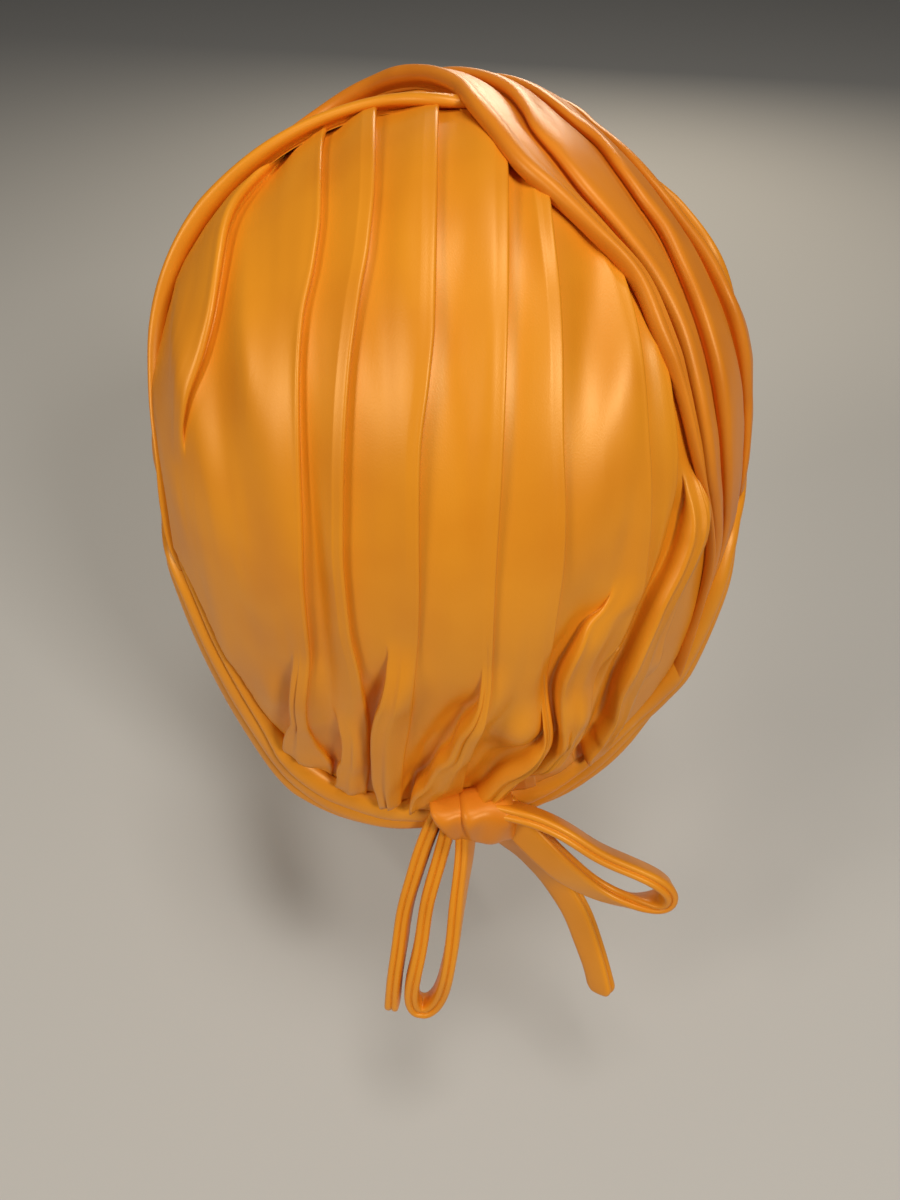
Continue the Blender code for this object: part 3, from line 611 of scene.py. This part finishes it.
def add_mesh(name, points, faces, uvs):
    """Make an object from points in millimetres, faces, and a map place for each point."""
    mesh = bpy.data.meshes.new(name)
    mesh.from_pydata((np.asarray(points) * MM).tolist(), [], faces)
    layer = mesh.uv_layers.new(name="cloth")
    loops = np.empty(len(mesh.loops), dtype=np.int32)
    mesh.loops.foreach_get("vertex_index", loops)
    layer.data.foreach_set("uv", (np.asarray(uvs) * MM)[loops].astype(np.float32).ravel())
    mesh.validate()
    mesh.shade_smooth()
    body = bpy.data.objects.new(name, mesh)
    bpy.context.scene.collection.objects.link(body)
    return body


def map_places(grid):
    """Distances along the rows and columns of a grid of points, as places on the cloth."""
    across = np.concatenate([np.zeros((len(grid), 1)),
                             np.cumsum(np.linalg.norm(np.diff(grid, axis=1), axis=-1), axis=1)], axis=1)
    along = np.concatenate([np.zeros((1, grid.shape[1])),
                            np.cumsum(np.linalg.norm(np.diff(grid, axis=0), axis=-1), axis=0)], axis=0)
    return np.stack([np.broadcast_to(across.mean(axis=0), grid.shape[:2]),
                     np.broadcast_to(along.mean(axis=1)[:, None], grid.shape[:2])], axis=-1)


def add_shell(name, outside, inside):
    """Close the space between two grids of points that face each other."""
    rows, cols = outside.shape[:2]
    shift = rows * cols
    faces = []
    for r in range(rows - 1):
        for c in range(cols - 1):
            a = r * cols + c
            faces.append((a, a + 1, a + cols + 1, a + cols))
            faces.append((shift + a + cols, shift + a + cols + 1, shift + a + 1, shift + a))
    border = (list(range(cols)) + [r * cols + cols - 1 for r in range(1, rows)]
              + [(rows - 1) * cols + c for c in range(cols - 2, -1, -1)]
              + [r * cols for r in range(rows - 2, 0, -1)])
    for a, b in zip(border, border[1:] + border[:1]):
        faces.append((b, a, shift + a, shift + b))
    places = map_places(outside).reshape(-1, 2)
    return add_mesh(name, np.concatenate([outside.reshape(-1, 3), inside.reshape(-1, 3)]), faces,
                    np.concatenate([places, places]))


def add_tubes(name, parts):
    """Skin each part, a row of rings of points, and close both its ends."""
    points, faces, uvs = [], [], []
    for rings in parts:
        shift = sum(len(p) for p in points)
        count, sides = rings.shape[:2]
        for r in range(count - 1):
            for s in range(sides):
                a, b = shift + r * sides + s, shift + r * sides + (s + 1) % sides
                faces.append((a, b, b + sides, a + sides))
        faces.append(tuple(shift + s for s in reversed(range(sides))))
        faces.append(tuple(shift + (count - 1) * sides + s for s in range(sides)))
        points.append(rings.reshape(-1, 3))
        uvs.append(map_places(rings).reshape(-1, 2))
    return add_mesh(name, np.concatenate(points), faces, np.concatenate(uvs))


def fixed(alpha):
    return lambda beta: np.full(np.shape(beta), float(alpha))


def pleat_line(index):
    return lambda beta: smooth(PLEATS[index][0], beta)


def tuck_line(table, low, high):
    """Line of a tuck, kept at its share of the way between the pleats on its two sides."""
    betas = [row[0] for row in table]
    shares = [(min(betas) - TUCK_PAST[0], 0.5), (max(betas) + TUCK_PAST[1], 0.5)]
    for beta, alpha in table:
        left, right = low(np.array(float(beta))), high(np.array(float(beta)))
        shares.append((beta, float(np.clip((alpha - left) / (right - left), *TUCK_ROOM))))
    return lambda beta: low(beta) + (high(beta) - low(beta)) * smooth(shares, beta)


def tuck_share(table, beta):
    """How much of a tuck's height stands at beta."""
    betas = [row[0] for row in table]
    return (ease((max(betas) + TUCK_FADE_TOP[0] - beta) / TUCK_FADE_TOP[1])
            * ease((beta - min(betas) + TUCK_FADE_LOW[0]) / TUCK_FADE_LOW[1]))


def crown_lines():
    """Lines that the crown's columns follow, from the wearer's left to right.

    Each is a line, the side its lip faces (1 right, -1 left), its step at beta, and the number of
    its pleat or else of its tuck.
    """
    lines = []
    for index, (_, steps) in enumerate(PLEATS):
        lines.append((pleat_line(index), 1, lambda beta, s=steps: smooth(s, beta), index, None))
    rising = []
    for number, (height, _, table) in enumerate(TUCKS):
        middle_beta = np.array(float(table[len(table) // 2][0]))
        middle_alpha = table[len(table) // 2][1]
        spot = sum(1 for line in lines if line[0](middle_beta) < middle_alpha)
        line = tuck_line(table, lines[spot - 1][0], lines[spot][0])
        step = (lambda beta, h=height, t=table: h * tuck_share(t, beta))
        rising.append((spot, (line, -1, step, None, number)))
    for spot, entry in sorted(rising, key=lambda pair: -pair[0]):
        lines.insert(spot, entry)
    return lines


def lip_width(pleat):
    return TUCK_LIP_WIDTH if pleat is None else LIP_WIDTHS[pleat]


def crown_columns():
    """The crown's lines, and its columns from the wearer's left to right.

    A column is a function that gives alpha at beta, and the number and level of the line whose
    lip it belongs to, or none.
    """
    lines = crown_lines()
    ends = [fixed(SIDE_LINES[0])] + [entry[0] for entry in lines] + [fixed(SIDE_LINES[1])]
    columns = [(lambda beta, a=alpha: a + 0 * beta, None)
               for alpha in END_LINES[0] + (SIDE_LINES[0] - END_LINES[0]) * np.linspace(0, 0.85, 5)]

    def edge(k, side):
        """Degrees from line k to its outermost lip column on a side (1 right, -1 left)."""
        _, facing, _, pleat, _ = lines[k]
        reach = (LIP[-1][1] if side == facing else -LIP[0][1]) * lip_width(pleat) / MM_PER_DEGREE

        def offset(beta):
            gap = np.abs(ends[k + 1 + side](beta) - ends[k + 1](beta))
            return side * np.minimum(reach, LIP_ROOM * gap)
        return offset

    for k in range(len(lines) + 1):
        low = ends[0] if k == 0 else (lambda beta, k=k: ends[k](beta) + edge(k - 1, 1)(beta))
        high = ends[-1] if k == len(lines) else (
            lambda beta, k=k: ends[k + 1](beta) + edge(k, -1)(beta))
        middle = np.array([-20.0, 10.0, 40.0])
        count = int(np.clip(np.mean(high(middle) - low(middle)) * MM_PER_DEGREE / COLUMN_WIDTH,
                            *COLUMN_COUNTS))
        for part in np.linspace(0, 1, count + 2)[1:-1]:
            columns.append((lambda beta, a=low, b=high, p=part: a(beta) + (b(beta) - a(beta)) * p, None))
        if k < len(lines):
            line, facing, step, pleat, _ = lines[k]
            wide = lip_width(pleat)
            points = LIP if facing == 1 else tuple(reversed(LIP))
            for folded, flat, level in points:
                def at(beta, folded=folded, flat=flat, line=line, facing=facing, step=step, k=k, wide=wide):
                    share = np.minimum(1.0, np.maximum(step(beta), 0.0) / LIP_FULL_STEP)
                    ahead = flat > LIP_MIDDLE
                    side = facing if ahead else -facing
                    limit = np.abs(edge(k, side)(beta)) * MM_PER_DEGREE
                    even = flat / (LIP[-1][1] if ahead else -LIP[0][1]) * limit
                    rolled = folded * wide * np.minimum(1.0, limit / (LIP_TIGHT * wide))
                    rolled = np.maximum(rolled, -limit) if side != facing else np.minimum(rolled, limit)
                    return line(beta) + facing * (rolled * share + even * (1 - share)) / MM_PER_DEGREE
                columns.append((at, (k, level)))
    columns += [(lambda beta, a=alpha: a + 0 * beta, None)
                for alpha in SIDE_LINES[1] + (END_LINES[1] - SIDE_LINES[1]) * np.linspace(0, 1, 6)]
    return lines, columns


def crown_relief(lines, alpha, beta, lip):
    """Height of the pleats and tucks over the crown's base, for one column."""
    pleats = [entry for entry in lines if entry[3] is not None]
    places = [smooth(PLEATS[entry[3]][0], beta) for entry in pleats]
    lows = [np.full(beta.shape, SIDE_LINES[0])] + places
    total = np.zeros(beta.shape)
    own = lip[0] if lip else None
    for index, (low, high) in enumerate(zip(lows[:-1], places)):
        step = pleats[index][2](beta)
        inside = (alpha > low) & (alpha <= high)
        if own is not None and lines[own][3] is not None:
            inside = np.full(beta.shape, lines[own][3] == index)
        share = np.clip((alpha - low - PANEL_MARGIN) / (high - low - PANEL_MARGINS), 0, 1)
        body = share ** PANEL_POWER * PANEL_RISE
        if own is not None and lines[own][3] == index:
            body = np.full(beta.shape, lip[1])
        total = total + np.where(inside, step * body, 0.0)
    for k, (line, _, step, _, number) in enumerate(lines):
        if number is None:
            continue
        reach = TUCKS[number][1]
        offset = alpha - line(beta)
        part = np.clip(offset / reach, 0, 1)
        deep = TUCK_DIP * step(beta) / TUCKS[number][0]
        dip = -deep * ease((offset + TUCK_DIP_REACH) / TUCK_DIP_REACH)
        rise = np.where(offset > 0, ease(1 - part) * (PANEL_RISE + TUCK_BULGE * part), dip)
        if own == k:
            rise = lip[1] - deep * (1 - lip[1])
        total = total + step(beta) * rise
    return total


def crown():
    """Dome of pleated cloth, from the rim at the nape over the top to the rim at the front."""
    lines, columns = crown_columns()
    search = np.linspace(-80.0, 180.0, 1041)
    grid_alpha, grid_beta, relief = [], [], []
    for at, lip in columns:
        points = over_hollow(direction(at(search), search), np.zeros(len(search)))
        above = np.flatnonzero(points[:, 2] > rim_height(azimuth_of(points)))
        back, front = search[above[0]], search[above[-1]]
        top = smooth(PANEL_TOP, at(np.array(30.0))) + TOP_UNDER
        top = min(max(top, back + ROWS_LEAST), front - ROWS_LEAST)
        beta = np.concatenate([np.linspace(back, top, CROWN_ROWS[0]),
                               np.linspace(top, front, CROWN_ROWS[1])[1:]])
        alpha = at(beta)
        grid_alpha.append(alpha)
        grid_beta.append(beta)
        relief.append(crown_relief(lines, alpha, beta, lip))
    alpha, beta, relief = np.array(grid_alpha), np.array(grid_beta), np.array(relief)
    top = smooth(PANEL_TOP, alpha)
    clear = (ease((top + CLEAR_TOP[0] - beta) / CLEAR_TOP[1])
             * ease((alpha - SIDE_LINES[0] + CLEAR_LEFT[0]) / CLEAR_LEFT[1])
             * ease((SIDE_LINES[1] + CLEAR_RIGHT[0] - alpha) / CLEAR_RIGHT[1]))
    off_band = rim_distance(alpha, beta)
    seam = ease((off_band + CLEAR_BAND[0]) / CLEAR_BAND[1])
    relief = (relief * ease((off_band + PLEATS_BAND[0]) / PLEATS_BAND[1])
              * ease((top + PLEATS_TOP[0] - beta) / PLEATS_TOP[1]))
    base = (CROWN_BASE - CROWN_LOW + CROWN_LEFT * ease((RISE_LEFT[0] - alpha) / RISE_LEFT[1])
            + CROWN_NAPE * ease((RISE_NAPE[0] - beta) / RISE_NAPE[1]))
    soft = 0.0
    for size, wide, long, seed in CROWN_WAVES:
        soft = soft + size * waves(alpha * MM_PER_DEGREE / wide, beta / long, seed)
    for a, b, half_wide, half_long, height in BUMPS:
        soft = soft + height * np.exp(-((alpha - a) / half_wide) ** 2 - ((beta - b) / half_long) ** 2)
    height = CROWN_LOW + clear * seam * np.maximum(base + relief + soft, 0.2)
    d = direction(alpha, beta)
    outside = over_hollow(d, height)
    flat = np.maximum.accumulate(alpha, axis=0)
    inside = over_hollow(direction(flat, beta), np.full(alpha.shape, CROWN_INSIDE))
    return add_shell("crown", outside, inside)


def swath_columns(count):
    """Columns across a swath: line number, offset from it in mm, share to the next line, level."""
    columns = []
    for k in range(count - 1):
        for offset, level in (FOLD_START if k == 0 else FOLD_LIP):
            columns.append((k, offset, 0.0, level))
        for share in np.linspace(0, 1, FACE_POINTS)[1:-1]:
            level = smooth(FOLD_FACE, np.array(share))
            if k == count - 2:
                level = max(level, FOLD_FRONT_LEVEL)
            columns.append((k, FACE_START_REAR if k == 0 else FACE_START, share, float(level)))
    for offset, level in FOLD_END:
        columns.append((count - 1, offset, 0.0, level))
    return columns


def rim_line(azimuths):
    """Directions just under the band's upper edge, at the azimuths of a swath's end."""
    azimuths = np.asarray(azimuths, float)
    here, across = rim_frame(azimuths)
    point = here + across * (rim_width(azimuths) / 2 - UNDER_BAND)[:, None]
    return unit(point - CENTRE)


def swath(name, table, rims, rows, seed):
    """Band of folded cloth that lies over the crown from the rim to the rim."""
    lines, extra = [rim_line(rims[0])], [(*table[0][10:12], RIM_RELIEF[0])]
    for row in table:
        lines.append(direction(np.array(row[0:10:2], float), np.array(row[1:10:2], float)))
        extra.append(row[10:])
    lines.append(rim_line(rims[1]))
    extra.append((*table[-1][10:12], RIM_RELIEF[1]))
    folds = len(lines[0])
    packed = np.concatenate([np.array(lines).reshape(len(lines), -1) * HALF_WIDTH,
                             np.array(extra, float)], axis=1)
    packed = through(packed, rows)
    lips = unit(packed[:, :folds * 3].reshape(rows, folds, 3))
    lift_rear, lift_front, relief = packed[:, -3:].T
    gaps = np.linalg.norm(np.diff(lips, axis=1), axis=-1) * SWATH_RADIUS
    out, inner_d, heights, lifts = [], [], [], []
    columns = swath_columns(folds)
    for number, (k, offset, share, level) in enumerate(columns):
        low, high = min(k, folds - 2), min(k + 1, folds - 1)
        toward_front = unit(lips[:, high] - lips[:, low])
        scale = np.minimum(1.0, gaps[:, low] / FOLD_FULL_GAP)
        start = lips[:, k] + toward_front * (offset * scale / SWATH_RADIUS)[:, None]
        if share > 0:
            end = lips[:, k + 1] - toward_front * (FACE_END * scale / SWATH_RADIUS)[:, None]
            start = start + (end - start) * share
        out.append(unit(start))
        across = (k + share) / (folds - 1)
        lifts.append(lift_rear + (lift_front - lift_rear) * across)
        more = REAR_LIP_MORE if k == 0 and share == 0 else 0.0
        full = np.clip(relief + more, 0, 1)
        heights.append(level * full * np.minimum(1.0, FOLD_LEAST + gaps[:, low] / FOLD_GAIN_GAP))
        even = number / (len(columns) - 1) * (folds - 1)
        spot = int(min(even, folds - 2))
        inner_d.append(unit(lips[:, spot] + (lips[:, spot + 1] - lips[:, spot]) * (even - spot)))
    d, inner_d = np.array(out), np.array(inner_d)
    lift, heights = np.array(lifts), np.array(heights)
    steps = np.linalg.norm(np.diff(lips[:, 1], axis=0), axis=1)
    along = np.cumsum(np.concatenate([[0], steps])) * SWATH_RADIUS
    across = np.cumsum(np.linalg.norm(np.diff(d, axis=0, prepend=d[:1]), axis=-1), axis=0) * SWATH_RADIUS
    soft = 0.0
    for number, (size, long, wide) in enumerate(SWATH_WAVES):
        soft = soft + size * waves(along[None, :] / long, across / wide, seed + number)
    inner = np.maximum(SWATH_INSIDE + lift, SWATH_LOW)
    outer = inner + SWATH_WALL + SWATH_FOLD * heights + soft * np.clip(heights * 2, 0, 1)
    outer = np.maximum(outer, SWATH_LOW)
    return add_shell(name, over_hollow(d, outer), over_hollow(inner_d, inner))


def rim_band():
    """Folded binding of three rolls round the whole rim, open where the knot sits."""
    reach = np.degrees((KNOT_HALF[0] - BAND_UNDER_KNOT) / (BACK_DEPTH + BAND_INSIDE))
    start, end = KNOT_AZIMUTH + reach, 360 + KNOT_AZIMUTH - reach
    azimuths = np.linspace(start, end, BAND_RINGS)
    azimuths = np.where(azimuths > 180, azimuths - 360, azimuths)
    upper = smooth([row[:2] for row in GROOVES], azimuths)
    lower = smooth([(row[0], row[2]) for row in GROOVES], azimuths)
    width = rim_width(azimuths)
    here, across = rim_frame(azimuths)
    rings = []
    shift = smooth(BAND_SHIFT, azimuths)

    def add(place, height):
        point = here + across * (place * width)[:, None] - CENTRE
        rings.append(over_hollow(unit(point), np.maximum(height + shift, SWATH_LOW)))

    rolls = ((np.full(len(azimuths), 0.5), upper), (upper, lower), (lower, np.full(len(azimuths), -0.5)))
    for number, (high, low) in enumerate(rolls):
        size = np.clip((high - low) * width / ROLL_FULL, ROLL_LEAST, 1.0)
        wave = BAND_WAVE * waves(azimuths / BAND_WAVE_LENGTH, number * 3.0, 21)
        for angle in np.linspace(0, 180, ROLL_POINTS)[(0 if number == 0 else 1):]:
            place = (high + low) / 2 + (high - low) / 2 * math.cos(math.radians(angle))
            rise = math.sin(math.radians(angle)) ** ROLL_POWER
            outermost = number == (0 if angle < 90 else 2)
            foot = BAND_INSIDE + BAND_FOOT if outermost else BAND_GROOVE
            top = BAND_GROOVE + (BAND_TOP - BAND_GROOVE) * size + wave
            add(place, foot + (top - foot) * rise)
    for place in BAND_PLACES:
        add(np.full(len(azimuths), place), np.full(len(azimuths), BAND_INSIDE))
    return add_tubes("rim_band", [np.stack(rings, axis=1)])


def wrap_rings(left_top, left_low, right_top, right_low, bigger):
    """Rings of one turn of cloth over the knot."""
    middle, side, up, out = knot_frame()
    half_v, half_w = KNOT_HALF[1] + bigger, KNOT_HALF[2] + bigger
    rings = []
    for share in WRAP_RINGS:
        edge = min(share, 1 - share) / WRAP_ROUND
        size = WRAP_EDGE + WRAP_ROUNDING * math.sqrt(1 - (1 - min(edge, 1.0)) ** 2)
        ring = []
        for angle in np.linspace(0, 2 * np.pi, KNOT_SIDES, endpoint=False):
            c, s = np.cos(angle), np.sin(angle)
            w = np.sign(c) * abs(c) ** KNOT_POWER * half_w * size
            v = np.sign(s) * abs(s) ** KNOT_POWER * half_v * size
            low = (1 - np.clip(v / half_v, -1, 1)) / 2
            left = left_top + (left_low - left_top) * low
            right = right_top + (right_low - right_top) * low
            pleat = WRAP_WAVE * math.sin(share * WRAP_WAVE_TURNS[0] + low * WRAP_WAVE_TURNS[1] + bigger)
            v = v * (KNOT_BELOW if v < 0 else 1.0)
            ring.append(middle + side * (left + (right - left) * share) + up * v + out * (w + pleat))
        rings.append(ring)
    return np.array(rings)


def tie(name, line, twist, count, tail, seed):
    """Folded strap along a line.

    twist tells by how many degrees its flat side has turned at each share of its length, and a
    tail has a rounded free end.
    """
    line = through(line, count)
    for _ in range(count // 4):
        line[1:-1] = (line[:-2] + 2 * line[1:-1] + line[2:]) / 4
    tangent = unit(np.gradient(line, axis=0))
    flat = np.array(STRAP_FLAT)
    across = unit(flat - tangent * (tangent @ flat)[:, None])
    turn = np.radians(smooth(twist, np.linspace(0, 1, count)))[:, None]
    wide = across * np.cos(turn) + np.cross(tangent, across) * np.sin(turn)
    thick = np.cross(tangent, wide)
    along = np.concatenate([[0], np.cumsum(np.linalg.norm(np.diff(line, axis=0), axis=1))])
    half_w = STRAP_WIDTH / 2 * (1 + 0.05 * waves(along / 14.0, 0.0, seed))
    half_t = STRAP_THICKNESS / 2 * (1 + 0.05 * waves(along / 9.0, 3.0, seed))
    if tail:
        left = along[-1] - along
        half_w = half_w * np.sqrt(np.clip(1 - np.clip(1 - left / TAIL_ROUND_WIDE, 0, 0.995) ** 2, 0, 1))
        half_t = half_t * np.sqrt(np.clip(1 - np.clip(1 - left / TAIL_ROUND_THICK, 0, 0.99) ** 2, 0, 1))
    half = list(STRAP_SIDE)
    outline = ([(STRAP_GROOVE, 0.0)] + half + [(0.0, -STRAP_MIDDLE)]
               + [(-a, b) for a, b in reversed(half)] + [(-STRAP_GROOVE, 0.0)]
               + [(-a, -b) for a, b in half] + [(0.0, STRAP_MIDDLE)] + [(a, -b) for a, b in reversed(half)])
    rings = np.stack([line + wide * (half_w * a)[:, None] + thick * (half_t * b)[:, None]
                      for a, b in outline], axis=1)
    return add_tubes(name, [rings])


def add_noise(tree, scale, detail):
    """A noise pattern that is fixed to the object."""
    place = tree.nodes.new("ShaderNodeTexCoord")
    noise = tree.nodes.new("ShaderNodeTexNoise")
    noise.inputs["Scale"].default_value = scale
    noise.inputs["Detail"].default_value = detail
    tree.links.new(place.outputs["Object"], noise.inputs["Vector"])
    return noise.outputs["Fac"]


def satin(name):
    """Smooth woven cloth with a soft shine, a fine grain and faint changes of colour."""
    colour, dark, gloss, shift = SATINS[name]
    material = bpy.data.materials.new(name)
    material.use_nodes = True
    tree = material.node_tree
    shader = tree.nodes["Principled BSDF"]
    spread = tree.nodes.new("ShaderNodeMapRange")
    spread.inputs["From Min"].default_value, spread.inputs["From Max"].default_value = PATCH_RANGE
    tree.links.new(add_noise(tree, PATCH_SCALE + shift, PATCH_DETAIL), spread.inputs["Value"])
    colours = tree.nodes.new("ShaderNodeMix")
    colours.data_type = "RGBA"
    colours.inputs[6].default_value = dark
    colours.inputs[7].default_value = colour
    tree.links.new(spread.outputs["Result"], colours.inputs[0])
    tree.links.new(colours.outputs[2], shader.inputs["Base Color"])
    bump = tree.nodes.new("ShaderNodeBump")
    bump.inputs["Strength"].default_value = GRAIN_STRENGTH
    bump.inputs["Distance"].default_value = GRAIN_DEPTH
    tree.links.new(add_noise(tree, GRAIN_SCALE, GRAIN_DETAIL), bump.inputs["Height"])
    tree.links.new(bump.outputs["Normal"], shader.inputs["Normal"])
    shader.inputs["Roughness"].default_value = SATIN_ROUGHNESS
    shader.inputs["Metallic"].default_value = 0.0
    shader.inputs["Specular IOR Level"].default_value = gloss
    shader.inputs["Specular Tint"].default_value = SATIN_SHINE
    return material


def place_piece(body, node, material):
    """Let a piece ride on the hat, take a CAD node's place and wear a slot's material."""
    body.data.materials.append(material)
    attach(body, "root")
    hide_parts(node)


def floor_and_light():
    bpy.ops.mesh.primitive_plane_add(size=FLOOR_WIDTH, location=(0.0, 0.0, FLOOR_HEIGHT))
    floor = bpy.context.object
    floor.name = "floor"
    paint = bpy.data.materials.new("floor_paint")
    paint.use_nodes = True
    shader = paint.node_tree.nodes["Principled BSDF"]
    shader.inputs["Base Color"].default_value = FLOOR_COLOUR
    shader.inputs["Roughness"].default_value = FLOOR_ROUGHNESS
    floor.data.materials.append(paint)
    world = bpy.data.worlds.new("studio")
    bpy.context.scene.world = world
    world.use_nodes = True
    sky = world.node_tree.nodes["Background"]
    sky.inputs["Color"].default_value = SKY_COLOUR
    sky.inputs["Strength"].default_value = SKY_STRENGTH
    for name, spot, size, power, tint in LAMPS:
        lamp = bpy.data.lights.new(name, "AREA")
        lamp.energy = power
        lamp.size = size
        lamp.color = tint
        holder = bpy.data.objects.new(name, lamp)
        holder.location = spot
        holder.rotation_euler = (-Vector(spot)).to_track_quat("-Z", "Y").to_euler()
        bpy.context.scene.collection.objects.link(holder)


def camera():
    """Camera of the photograph. The Standard view keeps the satin's strong orange."""
    bpy.context.scene.view_settings.view_transform = "Standard"
    data = bpy.data.cameras.new("camera")
    data.sensor_width = SENSOR
    data.lens = FOCAL_PIXELS / FRAME_HEIGHT * SENSOR
    data.clip_start = 0.01
    holder = bpy.data.objects.new("camera", data)
    holder.location = CAMERA_PLACE
    holder.rotation_euler = (math.radians(CAMERA_TILT), 0.0, 0.0)
    bpy.context.scene.collection.objects.link(holder)
    bpy.context.scene.camera = holder


def main():
    # The darker satin paints shade onto the right swath and the knot
    orange, deep = satin("satin"), satin("satin_deep")
    place_piece(crown(), "crown", orange)
    place_piece(swath("left_drape", LEFT_SWATH, LEFT_RIM, 230, 31), "left_drape", orange)
    place_piece(swath("right_drape", RIGHT_SWATH, RIGHT_RIM, 250, 41), "right_drape", deep)
    place_piece(rim_band(), "rim_band", orange)
    place_piece(add_tubes("knot", [wrap_rings(*row) for row in WRAPS]), "knot", deep)
    for name, *shape in TIES:
        place_piece(tie(name, *shape), name, orange)
    floor_and_light()
    camera()


main()
